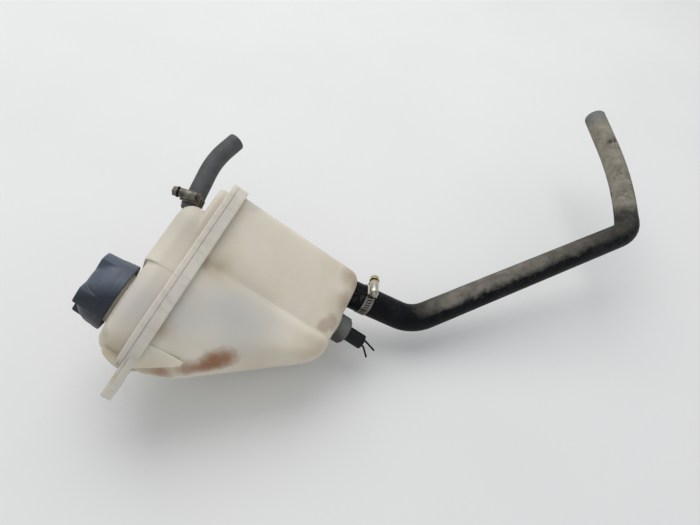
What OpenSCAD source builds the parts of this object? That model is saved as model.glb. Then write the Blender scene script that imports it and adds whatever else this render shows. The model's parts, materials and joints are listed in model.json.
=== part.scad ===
// Coolant expansion tank: two welded shells, screw cap with valves, level sensor and two hoses.
// Millimetres. Z is the filler axis, X runs along the welded seam, the origin is the tongue hole.

/* [Shells] */
// half the width of the tank across the seam
body_half_w = 43; // [38:1:48]
// from the filler axis to the flat end wall
body_end_x = 124; // [114:1:135]
// depth of the lower shell under the seam
lower_depth = 139; // [125:1:155]
// wall thickness of both shells
wall = 2.8; // [2.2:0.1:3.6]
// depth at which the sloping end wall starts
slope_start = 18; // [12:1:24]
// depth at which that wall gets steeper
slope_break = 41; // [34:1:50]
// lean of the end wall above the break, degrees
slope_upper = 18; // [14:1:24]
// lean of the end wall below the break, degrees
slope_lower = 35.6; // [30:0.2:38]
// from the filler axis to the crease between the two chambers
crease_x = 48.5; // [42:0.5:56]
// how far each chamber runs past the crease
chamber_overlap = 6; // [4:0.5:9]
// narrowing of the lower shell towards its bottom, each side
lower_taper = 4; // [1:0.5:7]
// how much flatter the outlet chamber is, each side
outlet_chamber_inset = 1.5; // [0:0.5:3]
// rounding of the lower shell's bottom edge
bottom_round = 13; // [8:1:17]
// share of that rounding at the foot of the sloping wall
slope_round = 0.45; // [0.2:0.05:1]

/* [Upper shell] */
// height of the cap side over the seam
cap_side_h = 27.5; // [24:0.5:30]
// height of the raised end over the seam
raised_h = 30.5; // [29.5:0.5:35]
// from the filler axis to the step between them
step_x = 32; // [28:1:36]
// from the filler axis to the end of the raised part
raised_end_x = 95; // [88:1:100]
// rounding of the upper shell's top edges
top_round = 13; // [8:1:15]
// plan corner radius of the raised end
raised_corner = 20; // [15:1:24]
// height of the low ledge beside the vent
ledge_h = 13; // [9:0.5:16]
// from the filler axis to the end of the ledge
ledge_end_x = 117; // [112:1:120]
// plan corner radius of the seam's far end
end_corner = 15; // [11:1:18]

/* [Seam flange] */
// how far the flange stands out from the walls
flange_out = 5.5; // [4:0.5:8]
// thickness of each flange plate
flange_t = 3.2; // [2.6:0.2:4]
// height of the upper rim over the seam
rim_up = 5.4; // [4:0.2:7]
// height of the lower rim under the seam
rim_down = 9; // [7:0.2:11]
// thickness of both rims
rim_t = 2.6; // [2:0.2:3.4]

/* [Mounting tongue] */
// from the filler axis to the mounting hole
tongue_hole_x = 59.5; // [57:0.5:64]
// radius of the mounting hole
tongue_hole_r = 4.2; // [3:0.1:5]
// half the tongue's width where it meets the tank
tongue_root_w = 33.5; // [30:0.5:36]
// radius of the tongue's round end
tongue_r = 13; // [11:0.5:15]
// wall round the mounting hole
tongue_boss_wall = 2.6; // [2:0.2:4]
// thickness of the gusset plates
gusset_t = 2; // [1.6:0.1:2.2]
// depth of the gusset plates under the seam
gusset_depth = 38; // [30:1:44]
// how far the gussets' slant reaches out along the tongue
gusset_reach = 20; // [14:1:24]
// from the middle to each rib over the tongue
collar_rib_y = 14; // [10:0.5:18]
// height of those ribs over the seam
collar_rib_top = 18.4; // [14:0.2:20]

/* [Filler neck] */
// bore radius of the filler neck
neck_bore_r = 19; // [17:0.5:20]
// wall of the filler neck
neck_wall = 3; // [2.6:0.1:3.4]
// height of the neck's rim over the seam
neck_top = 46; // [44.5:0.25:47]

/* [Cap] */
// how far the cap's skirt stands out from the neck
cap_out = 8; // [7.5:0.5:11]
// height of the cap's skirt edge over the seam
cap_base = 31; // [30:0.5:33]
// height of the cap itself
cap_h = 26.5; // [26:0.5:30]
// how much narrower the cap is at its top, each side
cap_draft = 2; // [1:0.25:3]
// wall of the cap's skirt
cap_wall = 3.4; // [2.4:0.2:3.8]
// number of grip lobes, in opposite pairs
lobe_pairs = 2; // [1:1:4]
// width of each grip lobe
lobe_w = 14; // [10:0.5:16]
// turn of the lobes about the cap's axis, degrees
lobe_turn = 50; // [0:5:85]
// height over the skirt's edge where the cap's dome starts
dome_up = 6; // [5:0.5:8]
// radius of the dome's curve between the lobes
dome_r = 23; // [22:0.5:25]
// depth of the hollow in the cap's top
dish_depth = 1.5; // [0.5:0.25:2]
// radius of the hollow in the cap's top
dish_r = 12; // [8:0.5:13]

/* [Cap valve] */
// wall of the valve insert
insert_wall = 2.2; // [1.8:0.1:2.6]
// length of the valve insert below the neck's rim
insert_len = 20; // [18:0.5:24]
// thickness of the seal ring
seal_d = 3; // [2.4:0.2:3.6]
// radius of the valve seat's opening
seat_r = 9; // [8:0.5:10]
// radius of the pressure valve plate
plate_r = 12; // [11:0.25:12.5]
// thickness of the valve plates
plate_t = 2; // [1.6:0.1:2.4]
// wire diameter of the pressure spring
spring_wire = 1.6; // [1.2:0.1:2]
// mean radius of the pressure spring
spring_r = 10; // [9.5:0.25:10.5]
// turns of the pressure spring
spring_turns = 5; // [4:0.5:6]
// radius of the vacuum valve plate
vacuum_r = 6; // [5:0.25:7]
// radius of the vacuum valve stem
vacuum_stem_r = 1.6; // [1.2:0.1:2]
// length of the vacuum valve stem over the pressure plate
vacuum_stem_len = 7; // [6:0.25:8]

/* [Outlet] */
// from the filler axis to the outlet
outlet_x = 113; // [106:0.5:118]
// the outlet's place across the tank
outlet_y = -4; // [-12:0.5:8]
// lean of the outlet away from the tank, degrees
outlet_lean = 9; // [4:0.5:12]
// bore radius of the outlet spigot
outlet_bore_r = 7.4; // [6:0.2:8]
// length of the outlet spigot
outlet_len = 36; // [32:1:44]

/* [Outlet hose] */
// bore radius of the outlet hose
hose_bore_r = 10; // [9:0.25:11]
// wall of the outlet hose
hose_wall = 4; // [3:0.25:5]
// bore radius at the hose's far end
hose_end_bore_r = 8.5; // [8:0.25:10]
// length of the hose's straight run from the tank
hose_run = 76; // [72:1:90]
// radius of the hose's bend near the tank
hose_bend_r = 42; // [36:1:50]
// radius of the hose's sharp elbow
hose_elbow_r = 26; // [22:1:32]
// radius of the hose's slow bend near its end
hose_sweep_r = 380; // [200:20:420]

/* [Vent] */
// height of the vent over the seam
vent_z = 26; // [22:0.25:27]
// the vent's place across the tank
vent_y = -4; // [-10:0.5:6]
// lean of the vent upwards, degrees
vent_lean = 8; // [0:0.5:12]
// bore radius of the vent spigot
vent_bore_r = 3.4; // [2.5:0.1:3.8]
// length of the vent spigot
vent_len = 24; // [21:0.5:28]
// bore radius of the vent hose
vent_hose_bore_r = 5; // [4.5:0.1:5.6]
// wall of the vent hose
vent_hose_wall = 3.5; // [2.5:0.25:4]
// radius of the vent hose's bend
vent_bend_r = 90; // [70:5:120]
// length of the vent hose's straight run from the tank
vent_run = 57; // [50:1:64]
// how far the vent hose reaches along the tank
vent_reach = 86; // [80:1:96]
// how far the vent hose's end lies over its root
vent_rise = 1.5; // [-4:0.5:6]

/* [Hose clamps] */
// width of the clamp bands
band_w = 9; // [8:0.5:10]
// thickness of the clamp bands
band_t = 0.8; // [0.6:0.1:1]
// radius of the clamp screws
screw_r = 3.2; // [2.8:0.1:3.6]
// length of the clamp screws' thread
screw_len = 18; // [14:0.5:20]
// width across flats of the screw heads
head_af = 8; // [7:0.5:8]
// height of the screw heads
head_h = 5; // [4:0.5:6]
// sheet thickness of the clamp housings
housing_t = 1; // [0.8:0.1:1.3]

/* [Level sensor] */
// from the filler axis to the sensor
sensor_x = 77; // [70:0.5:84]
// the sensor's place across the tank
sensor_y = -6; // [-12:0.5:6]
// radius of the sensor's grey collar
collar_r = 13.5; // [12.5:0.25:15]
// height of the tank's boss over the collar
port_boss_h = 4.5; // [3:0.5:6]
// height of the collar under the boss
collar_h = 12; // [9:0.5:14]
// radius of the sensor's hole in the tank
port_r = 10.5; // [10:0.25:11]
// radius of the sensor's body
sensor_r = 7.2; // [6.5:0.1:7.8]
// length of the body under the collar
sensor_len = 19; // [15:0.5:23]
// radius of the stem inside the tank
stem_r = 3.6; // [3:0.1:4.4]
// radius of the float
float_r = 9.4; // [8:0.1:9.8]
// height of the float
float_h = 24; // [20:1:28]
// travel of the float
float_travel = 18; // [12:1:20]
// radius of the two cut leads
lead_r = 0.9; // [0.7:0.1:1.1]

/* [Hidden] */
$fn = 64;

// gap between pieces that move past each other without a fit
move_gap = 0.4;
// radial running clearance of a shaft in its hole
run_fit = 0.05;
// overlap that makes two forms one piece
join = 0.4;

// the tongue hole's lower edge becomes the origin
to_frame = [tongue_hole_x, 0, rim_down];

// ---- vector helpers
function unit(v) = v / norm(v);
function side_of(u) = abs(u[1]) < 0.9 ? unit(cross([0, 1, 0], u)) : unit(cross([1, 0, 0], u));
function frame_of(o, x, z) =
  let (y = cross(z, x))
  [[x[0], y[0], z[0], o[0]], [x[1], y[1], z[1], o[1]], [x[2], y[2], z[2], o[2]], [0, 0, 0, 1]];

// a bar of round section along straight runs with round bends at the inner points
// each point has its own radius
// the bends are a hair thicker and the runs reach a little way into them
module bar_run(pts, bends, radii, extend = 0, swell = 0.15, reach = 1.5) {
  n = len(pts);
  dirs = [for (i = [0:n - 2]) unit(pts[i + 1] - pts[i])];
  turn = [for (i = [1:n - 2]) acos(dirs[i - 1] * dirs[i])];
  tan_len = [for (i = [0:n - 1]) (i == 0 || i == n - 1) ? 0 : bends[i - 1] * tan(turn[i - 1] / 2)];
  for (i = [0:n - 2]) {
    a = pts[i] + dirs[i] * (tan_len[i] - (i == 0 ? extend : reach));
    b = pts[i + 1] - dirs[i] * (tan_len[i + 1] - (i == n - 2 ? extend : reach));
    multmatrix(frame_of(a, side_of(dirs[i]), dirs[i])) cylinder(r1 = radii[i], r2 = radii[i + 1], h = norm(b - a));
  }
  for (i = [1:n - 2]) {
    u = dirs[i - 1];
    v = dirs[i];
    inward = unit(v - u * (u * v));
    start = pts[i] - u * tan_len[i];
    centre = start + inward * bends[i - 1];
    multmatrix(frame_of(centre, -inward, cross(-inward, u)))
      rotate_extrude(angle = turn[i - 1]) translate([bends[i - 1], 0]) circle(r = radii[i] + swell);
  }
}

// ---- lower shell form
function slope_at(d) =
  -body_half_w
  + tan(slope_upper) * max(0, min(d, slope_break) - slope_start)
  + tan(slope_lower) * max(0, d - slope_break);
function round_in(d) =
  let (e = max(0, d - (lower_depth - bottom_round)))
  bottom_round - sqrt(max(0, bottom_round * bottom_round - e * e));
function half_oval(x, x0, x1, h, n0, n1) =
  let (
    m = (x0 + x1) / 2,
    u = abs(x - m) / ((x1 - x0) / 2),
    n = x < m ? n0 : n1
  )
  u >= 1 ? 0 : h * pow(1 - pow(u, n), 1 / n);
function blend_max(a, b, p) = pow(pow(a, p) + pow(b, p), 1 / p);
function half_width(x, d, in) =
  let (
    e = in + round_in(d),
    x0 = slope_at(d) + in + slope_round * round_in(d),
    share = lower_taper * d / lower_depth,
    main = half_oval(x, x0, max(x0 + 1, crease_x + chamber_overlap), body_half_w - share - e, 2.4, 5),
    out = half_oval(x, max(crease_x - chamber_overlap, x0), body_end_x - e,
      body_half_w - outlet_chamber_inset - share - e, 7, 9)
  )
  max(0.05, blend_max(main, out, 6));
main_n = 13;
outlet_n = 10;
side_n = main_n + outlet_n;
function spread(a, b, n) = [for (i = [0:n]) a + (b - a) * (1 - cos(180 * i / n)) / 2];
function ring(d, in) =
  let (
    e = in + round_in(d),
    x0 = slope_at(d) + in + slope_round * round_in(d),
    x1 = body_end_x - e,
    xm = max(x0 + 1, crease_x + chamber_overlap * 0.5),
    right = spread(xm, x1, outlet_n),
    xs = concat(spread(x0, xm, main_n), [for (i = [1:outlet_n]) right[i]])
  )
  concat(
    [for (i = [0:side_n]) [xs[i], i == 0 || i == side_n ? -0.05 : -half_width(xs[i], d, in)]],
    [for (i = [side_n:-1:0]) [xs[i], i == 0 || i == side_n ? 0.05 : half_width(xs[i], d, in)]]
  );
ring_n = 2 * (side_n + 1);
outer_depths = [0, slope_start, 26, slope_break, 60, 80, 100, lower_depth - bottom_round,
  lower_depth - bottom_round * 0.5, lower_depth - bottom_round * 0.2, lower_depth - 0.6, lower_depth];
module lower_form() {
  n = len(outer_depths);
  scale_in = (lower_depth - wall) / lower_depth;
  rings = concat(
    [for (i = [n - 1:-1:0]) [for (p = ring(outer_depths[i], 0)) [p[0], p[1], -outer_depths[i]]]],
    [for (i = [0:n - 1]) [for (p = ring(outer_depths[i], wall)) [p[0], p[1], -outer_depths[i] * scale_in]]]
  );
  rows = len(rings);
  pts = [for (r = rings) for (p = r) p];
  sides = [for (j = [0:rows - 2]) for (i = [0:ring_n - 1]) for (f = [0, 1])
    let (a = j * ring_n + i, b = j * ring_n + (i + 1) % ring_n)
    f == 0 ? [a, b, b + ring_n] : [a, b + ring_n, a + ring_n]];
  low = [for (i = [1:ring_n - 2]) [0, i + 1, i]];
  top = (rows - 1) * ring_n;
  high = [for (i = [1:ring_n - 2]) [top, top + i, top + i + 1]];
  polyhedron(points = pts, faces = [for (f = concat(sides, low, high)) [f[2], f[1], f[0]]]);
}

// ---- plan forms
module seam_plan(grow) {
  r = body_half_w + grow;
  c = end_corner + grow;
  x = body_end_x + grow;
  circle(r = r);
  translate([0, -r]) square([x - c, 2 * r]);
  translate([0, -r + c]) square([x, 2 * (r - c)]);
  for (s = [-1, 1]) translate([x - c, s * (r - c)]) circle(r = c);
}
// the tongue's straight side, from the tank's wall into its round end
side_bite = 0.05;
side_root = [-sqrt(body_half_w * body_half_w - tongue_root_w * tongue_root_w), -tongue_root_w];
side_gap = norm(side_root - [-tongue_hole_x, 0]);
side_angle = atan2(tongue_root_w, -tongue_hole_x - side_root[0]) + asin((tongue_r - side_bite) / side_gap);
side_dir = [cos(side_angle), sin(side_angle)];
side_len = sqrt(side_gap * side_gap - pow(tongue_r - side_bite, 2));
module tongue_plan(grow) {
  translate([-tongue_hole_x, 0]) circle(r = tongue_r + grow);
  out = [side_dir[1], -side_dir[0]] * -grow;
  a = side_root + out;
  b = side_root + side_dir * side_len + out;
  polygon([[0, 0], a, b, [-tongue_hole_x, 0], [b[0], -b[1]], [a[0], -a[1]]]);
}
module side_profile(w, h, r) {
  square([w - r, h]);
  square([w, h - r]);
  intersection() {
    translate([w - r, h - r]) circle(r = r);
    square([w + 1, h + 1]);
  }
}
// a block with a round top edge, open towards -X at x0
module soft_block(x0, x1, w, h, c, r) {
  q = min(r, h - 0.5);
  difference() {
    union() {
      translate([x0, 0, 0]) rotate([90, 0, 90]) linear_extrude(x1 - c - x0) {
        side_profile(w, h, q);
        mirror([1, 0]) side_profile(w, h, q);
      }
      translate([x1 - c, w - c, 0]) rotate([90, 0, 0]) linear_extrude(2 * (w - c))
        side_profile(c, h, min(q, c - 0.5));
      for (s = [-1, 1]) translate([x1 - c, s * (w - c), 0])
        rotate_extrude() side_profile(c, h, min(q, c - 0.5));
    }
    translate([x0 - 2 * c, -w, -1]) cube([2 * c, 2 * w, h + 2]);
  }
}

module lower_shell() {
  color([0.86, 0.82, 0.72]) difference() {
    union() {
      lower_form();
      flange_plate(-flange_t, 0);
      flange_rim(-rim_down, 0);
      tongue();
      gussets();
      outlet_spigot();
      translate([sensor_x, sensor_y, -lower_depth - port_boss_h]) cylinder(r = collar_r - 1, h = port_boss_h + wall);
    }
    outlet_frame() translate([0, 0, -outlet_len - 1]) cylinder(r = outlet_bore_r, h = outlet_len + 12);
    translate([sensor_x, sensor_y, -lower_depth - port_boss_h - 1]) cylinder(r = port_r, h = port_boss_h + wall + 3);
    translate([-tongue_hole_x, 0, -rim_down - 1]) cylinder(r = tongue_hole_r, h = rim_down + 2);
  }
}
module flange_plate(z0, z1) {
  translate([0, 0, z0]) linear_extrude(z1 - z0) difference() {
    seam_plan(flange_out);
    polygon(ring(0, wall * 0.5));
  }
}
module flange_rim(z0, z1) {
  translate([0, 0, z0]) linear_extrude(z1 - z0) difference() {
    seam_plan(flange_out);
    seam_plan(flange_out - rim_t);
  }
}
module tongue() {
  translate([0, 0, -rim_down + join]) linear_extrude(rim_down - join) difference() {
    tongue_plan(0);
    tongue_plan(-rim_t);
    circle(r = body_half_w + flange_out - rim_t * 0.5);
  }
  translate([0, 0, -flange_t]) linear_extrude(flange_t) difference() {
    tongue_plan(0);
    circle(r = body_half_w + flange_out - rim_t * 0.5);
  }
  translate([-tongue_hole_x, 0, -rim_down]) cylinder(r = tongue_hole_r + tongue_boss_wall, h = rim_down);
}
// how far a gusset lies behind the tongue's side
gusset_inset = 0.3;
module gussets() {
  top = -flange_t + join;
  low = -rim_down + 2 * join;
  for (s = [0, 1]) mirror([0, s, 0]) translate([side_root[0], side_root[1], 0])
    rotate([0, 0, side_angle]) rotate([90, 0, 0]) translate([0, 0, gusset_inset])
      linear_extrude(gusset_t) polygon([
        [-4, top], [side_len - 3, top], [side_len - 3, low],
        [gusset_reach, low], [0, -gusset_depth], [-4, -gusset_depth]
      ]);
}
module outlet_frame() {
  translate([outlet_x, outlet_y, -lower_depth]) rotate([0, -outlet_lean, 0]) children();
}
module outlet_spigot() {
  r = hose_bore_r - run_fit;
  outlet_frame() {
    translate([0, 0, -outlet_len]) cylinder(r = r, h = outlet_len + wall);
    translate([0, 0, -outlet_len]) cylinder(r1 = r - 1, r2 = r, h = 2);
  }
}

module upper_shell() {
  color([0.87, 0.83, 0.74]) difference() {
    union() {
      cap_side(0);
      soft_block(step_x, raised_end_x, body_half_w, raised_h, raised_corner, top_round);
      soft_block(raised_end_x - raised_corner, ledge_end_x, body_half_w, ledge_h, end_corner, 5);
      linear_extrude(flange_t) seam_plan(flange_out);
      flange_rim(0, rim_up);
      translate([0, 0, cap_side_h - wall]) cylinder(r = neck_bore_r + neck_wall, h = neck_top - cap_side_h + wall);
      collar_ribs();
      vent_spigot();
    }
    translate([0, 0, -1]) {
      cap_side(wall, 1);
      soft_block(step_x - wall, raised_end_x - wall, body_half_w - wall, raised_h - wall + 1,
        raised_corner - wall, top_round - wall);
      soft_block(raised_end_x - raised_corner - wall, ledge_end_x - wall, body_half_w - wall,
        ledge_h - wall + 1, end_corner - wall, 3);
    }
    translate([0, 0, cap_side_h - wall - 2]) cylinder(r = neck_bore_r, h = neck_top);
    vent_frame() translate([0, 0, -2 * vent_root_in]) cylinder(r = vent_bore_r, h = vent_len + 2 * vent_root_in + 1);
  }
}
module cap_side(in, up = 0) {
  r = body_half_w - in;
  h = cap_side_h - in + up;
  f = top_round - in;
  rotate_extrude() side_profile(r, h, f);
  rotate([90, 0, 90]) linear_extrude(step_x + wall) {
    side_profile(r, h, f);
    mirror([1, 0]) side_profile(r, h, f);
  }
}
module collar_ribs() {
  foot = flange_t - join;
  root = -sqrt(pow(body_half_w - wall * 0.5, 2) - collar_rib_y * collar_rib_y) + 1;
  rim = -body_half_w - flange_out + 0.6;
  for (s = [-1, 1]) translate([0, s * collar_rib_y + gusset_t / 2, 0]) rotate([90, 0, 0])
    linear_extrude(gusset_t) polygon([
      [root, foot], [rim, foot], [rim, rim_up - 1], [-body_half_w - 3, (rim_up + collar_rib_top) / 2],
      [-body_half_w - 0.6, collar_rib_top], [root, collar_rib_top]
    ]);
}
// how far the vent's root reaches back under the shell's round edge
vent_root_in = top_round;
module vent_frame() {
  translate([raised_end_x, vent_y, vent_z]) rotate([0, 90 - vent_lean, 0]) children();
}
module vent_spigot() {
  r = vent_hose_bore_r - run_fit;
  vent_frame() {
    translate([0, 0, -vent_root_in]) cylinder(r = r, h = vent_len + vent_root_in);
  }
}

// ---- cap and its valves
cap_r = neck_bore_r + neck_wall + cap_out;
cap_top = cap_base + cap_h;
disc_r = neck_bore_r + neck_wall + 1;
disc_t = 2.4;
lip_z = neck_top - 4 * move_gap;
cap_ceiling = neck_top + move_gap + disc_t + 1.5;
dome_z = cap_base + dome_up;
dome_x = cap_r - cap_draft * dome_up / cap_h + 0.05 - dome_r;
module cap_dome() {
  rotate_extrude() {
    translate([0, dome_z - join]) square([dome_x, cap_top - dome_z + 2 * join]);
    intersection() {
      translate([dome_x, dome_z]) circle(r = dome_r);
      translate([0, dome_z - join]) square([cap_r + 5, cap_top - dome_z + 2 * join]);
    }
  }
}
module filler_cap() {
  groove_r = disc_r + move_gap;
  color([0.22, 0.26, 0.34]) difference() {
    translate([0, 0, cap_base]) cylinder(r1 = cap_r, r2 = cap_r - cap_draft, h = cap_h);
    difference() {
      translate([0, 0, dome_z]) cylinder(r = cap_r + 2, h = cap_h);
      cap_dome();
      for (i = [0:lobe_pairs - 1]) rotate([0, 0, lobe_turn + 180 * i / lobe_pairs])
        translate([-cap_r - 5, -lobe_w / 2, cap_base]) cube([2 * cap_r + 10, lobe_w, 2 * cap_h]);
    }
    translate([0, 0, cap_base - join]) cylinder(r = cap_r - cap_wall, h = 2 * join);
    translate([0, 0, cap_base]) cylinder(r1 = cap_r - cap_wall, r2 = groove_r, h = lip_z - cap_base);
    translate([0, 0, lip_z - join]) cylinder(r = disc_r - 1 + move_gap, h = 2 * neck_wall);
    difference() {
      translate([0, 0, neck_top - move_gap]) cylinder(r = groove_r, h = cap_ceiling - neck_top + move_gap);
      translate([0, 0, neck_top + 2 * move_gap + disc_t]) difference() {
        cylinder(r = disc_r - 2, h = cap_h);
        translate([0, 0, -join]) cylinder(r = disc_r - 5, h = cap_h);
      }
    }
    translate([0, 0, cap_top - dish_depth]) cylinder(r = dish_r, h = 2 * dish_depth);
  }
}
insert_r = neck_bore_r - 1;
seal_z = neck_top - 6;
insert_bottom = neck_top - insert_len;
seat_z = insert_bottom + 3;
module cap_valve_insert() {
  color([0.16, 0.17, 0.18]) difference() {
    union() {
      translate([0, 0, neck_top + move_gap]) cylinder(r = disc_r, h = disc_t);
      translate([0, 0, insert_bottom]) cylinder(r = insert_r, h = insert_len + 1);
    }
    translate([0, 0, seat_z]) cylinder(r = insert_r - seal_d + 1 - insert_wall, h = neck_top + move_gap - seat_z);
    translate([0, 0, insert_bottom - 1]) cylinder(r = seat_r, h = insert_len);
    translate([0, 0, neck_top - 1]) cylinder(r = 3, h = 6);
    translate([0, 0, seal_z]) rotate_extrude()
      translate([neck_bore_r - run_fit - seal_d / 2, 0]) circle(r = seal_d / 2);
  }
}
module cap_seal() {
  color([0.08, 0.08, 0.08]) translate([0, 0, seal_z]) rotate_extrude()
    translate([neck_bore_r - run_fit - seal_d / 2, 0]) circle(r = seal_d / 2);
}
plate_z = seat_z + move_gap;
module pressure_valve() {
  color([0.75, 0.74, 0.7]) translate([0, 0, plate_z]) difference() {
    union() {
      cylinder(r = plate_r, h = plate_t);
      cylinder(r = vacuum_stem_r + 1.4, h = plate_t + 1.2);
    }
    translate([0, 0, -1]) cylinder(r = vacuum_stem_r + run_fit, h = plate_t + 3);
    for (i = [0:2]) rotate([0, 0, 120 * i]) translate([vacuum_stem_r + 2.6, 0, -1]) cylinder(r = 0.8, h = plate_t + 2);
  }
}
module coil(r, wire, z0, z1, turns, steps, sides) {
  n = round(turns * steps);
  pts = [for (i = [0:n]) for (k = [0:sides - 1])
    let (a = 360 * i / steps, b = 360 * k / sides, q = r + wire / 2 * cos(b))
    [q * cos(a), q * sin(a), z0 + wire / 2 + (z1 - z0 - wire) * i / n + wire / 2 * sin(b)]];
  faces = [for (i = [0:n - 1]) for (k = [0:sides - 1]) for (f = [0, 1])
    let (a = i * sides + k, b = i * sides + (k + 1) % sides)
    f == 0 ? [a, b, b + sides] : [a, b + sides, a + sides]];
  first = [[for (k = [sides - 1:-1:0]) k]];
  last = [[for (k = [0:sides - 1]) n * sides + k]];
  polyhedron(points = pts, faces = [for (f = concat(faces, first, last)) [for (j = [len(f) - 1:-1:0]) f[j]]]);
}
module pressure_spring() {
  color([0.7, 0.7, 0.72])
    coil(spring_r, spring_wire, plate_z + plate_t + 0.1, neck_top + move_gap - 0.1, spring_turns, 14, 6);
}
module vacuum_valve() {
  top = plate_z + plate_t + 1.2 + vacuum_stem_len;
  color([0.8, 0.68, 0.35]) {
    translate([0, 0, plate_z - move_gap - plate_t]) cylinder(r = vacuum_r, h = plate_t);
    translate([0, 0, plate_z - move_gap - join]) cylinder(r = vacuum_stem_r, h = top - plate_z + move_gap + join);
  }
}
module valve_retainer() {
  top = plate_z + plate_t + 1.2 + vacuum_stem_len;
  color([0.7, 0.7, 0.72]) translate([0, 0, top - 2]) difference() {
    cylinder(r = vacuum_stem_r + 2.4, h = 1);
    translate([0, 0, -1]) cylinder(r = vacuum_stem_r, h = 3);
  }
}
module vacuum_spring() {
  top = plate_z + plate_t + 1.2 + vacuum_stem_len;
  color([0.7, 0.7, 0.72])
    coil(vacuum_stem_r + 1, 0.5, plate_z + plate_t + 1.3, top - 2.1, 5, 10, 5);
}

// ---- hoses
hose_r = hose_bore_r + hose_wall;
outlet_dir = [sin(outlet_lean), 0, -cos(outlet_lean)];
outlet_root = [outlet_x, outlet_y, -lower_depth];
hose_start = outlet_root + outlet_dir * 3;
hose_pts = [
  hose_start, outlet_root + outlet_dir * hose_run, outlet_root + [212, -79, -235],
  outlet_root + [291, -60, -224], outlet_root + [382, -30, -182]
];
hose_mid_bore_r = (hose_bore_r + 3 * hose_end_bore_r) / 4;
hose_bores = [hose_bore_r, hose_bore_r, hose_mid_bore_r, hose_end_bore_r, hose_end_bore_r];
module outlet_hose() {
  bends = [hose_bend_r, hose_elbow_r, hose_sweep_r];
  color([0.1, 0.1, 0.1]) difference() {
    bar_run(hose_pts, bends, hose_bores + [hose_wall, hose_wall, hose_wall, hose_wall, hose_wall]);
    bar_run(hose_pts, bends, hose_bores, 1);
  }
}
vent_hose_r = vent_hose_bore_r + vent_hose_wall;
vent_dir = [cos(vent_lean), 0, sin(vent_lean)];
vent_root = [raised_end_x, vent_y, vent_z];
vent_start = vent_root + vent_dir * 1.5;
vent_pts = [vent_start, vent_root + vent_dir * vent_run, vent_root + [vent_reach, 0, vent_rise]];
module vent_hose() {
  color([0.2, 0.2, 0.21]) difference() {
    bar_run(vent_pts, [vent_bend_r], [vent_hose_r, vent_hose_r, vent_hose_r]);
    bar_run(vent_pts, [vent_bend_r], [vent_hose_bore_r, vent_hose_bore_r, vent_hose_bore_r], 1);
  }
}

// ---- worm-drive clamps: local Z along the hose, the screw along local X on the -Y side
screw_y = screw_r + 0.8;
module clamp_band(r) {
  difference() {
    cylinder(r = r + band_t, h = band_w, center = true);
    cylinder(r = r, h = band_w + 1, center = true);
  }
}
module clamp_housing(r) {
  y = -r - band_t - screw_y;
  hr = screw_r + run_fit + housing_t;
  difference() {
    union() {
      translate([-screw_len / 2 + 1, y, 0]) rotate([0, 90, 0]) cylinder(r = hr, h = screw_len - 2);
      translate([-screw_len / 2 + 1, y, -band_w / 2 - 0.6]) cube([screw_len - 2, screw_y + 2.5, band_w + 1.2]);
    }
    translate([-screw_len, y, 0]) rotate([0, 90, 0]) cylinder(r = screw_r + run_fit, h = 2 * screw_len);
    cylinder(r = r + band_t + 0.02, h = band_w * 2, center = true);
  }
}
module clamp_screw(r) {
  y = -r - band_t - screw_y;
  translate([0, y, 0]) rotate([0, 90, 0]) difference() {
    union() {
      translate([0, 0, -screw_len / 2 - 1]) cylinder(r = screw_r, h = screw_len + 2 + join);
      translate([0, 0, screw_len / 2 + 1]) cylinder(r = head_af / 2 + 0.9, h = 1);
      translate([0, 0, screw_len / 2 + 1]) cylinder(r = head_af / sqrt(3), h = head_h, $fn = 6);
    }
    translate([-0.5, -head_af, screw_len / 2 + head_h - 0.5]) cube([1, 2 * head_af, 3]);
  }
}
outlet_clamp_at = 20;
outlet_clamp_turn = 30;
vent_clamp_at = 8;
vent_clamp_turn = 25;
module at_outlet_clamp() {
  multmatrix(frame_of(outlet_root + outlet_dir * outlet_clamp_at, [cos(outlet_lean), 0, sin(outlet_lean)], -outlet_dir))
    rotate([0, 0, outlet_clamp_turn]) children();
}
module at_vent_clamp() {
  u = unit(vent_pts[1] - vent_pts[0]);
  multmatrix(frame_of(vent_start + u * vent_clamp_at, unit([-u[2], 0, u[0]]), -u))
    rotate([0, 0, vent_clamp_turn]) children();
}
module outlet_clamp_band() { color([0.62, 0.6, 0.55]) at_outlet_clamp() clamp_band(hose_r); }
module outlet_clamp_housing() { color([0.72, 0.66, 0.45]) at_outlet_clamp() clamp_housing(hose_r); }
module outlet_clamp_screw() { color([0.75, 0.66, 0.35]) at_outlet_clamp() clamp_screw(hose_r); }
module vent_clamp_band() { color([0.45, 0.42, 0.38]) at_vent_clamp() clamp_band(vent_hose_r); }
module vent_clamp_housing() { color([0.45, 0.42, 0.38]) at_vent_clamp() clamp_housing(vent_hose_r); }
module vent_clamp_screw() { color([0.42, 0.4, 0.36]) at_vent_clamp() clamp_screw(vent_hose_r); }

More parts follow.
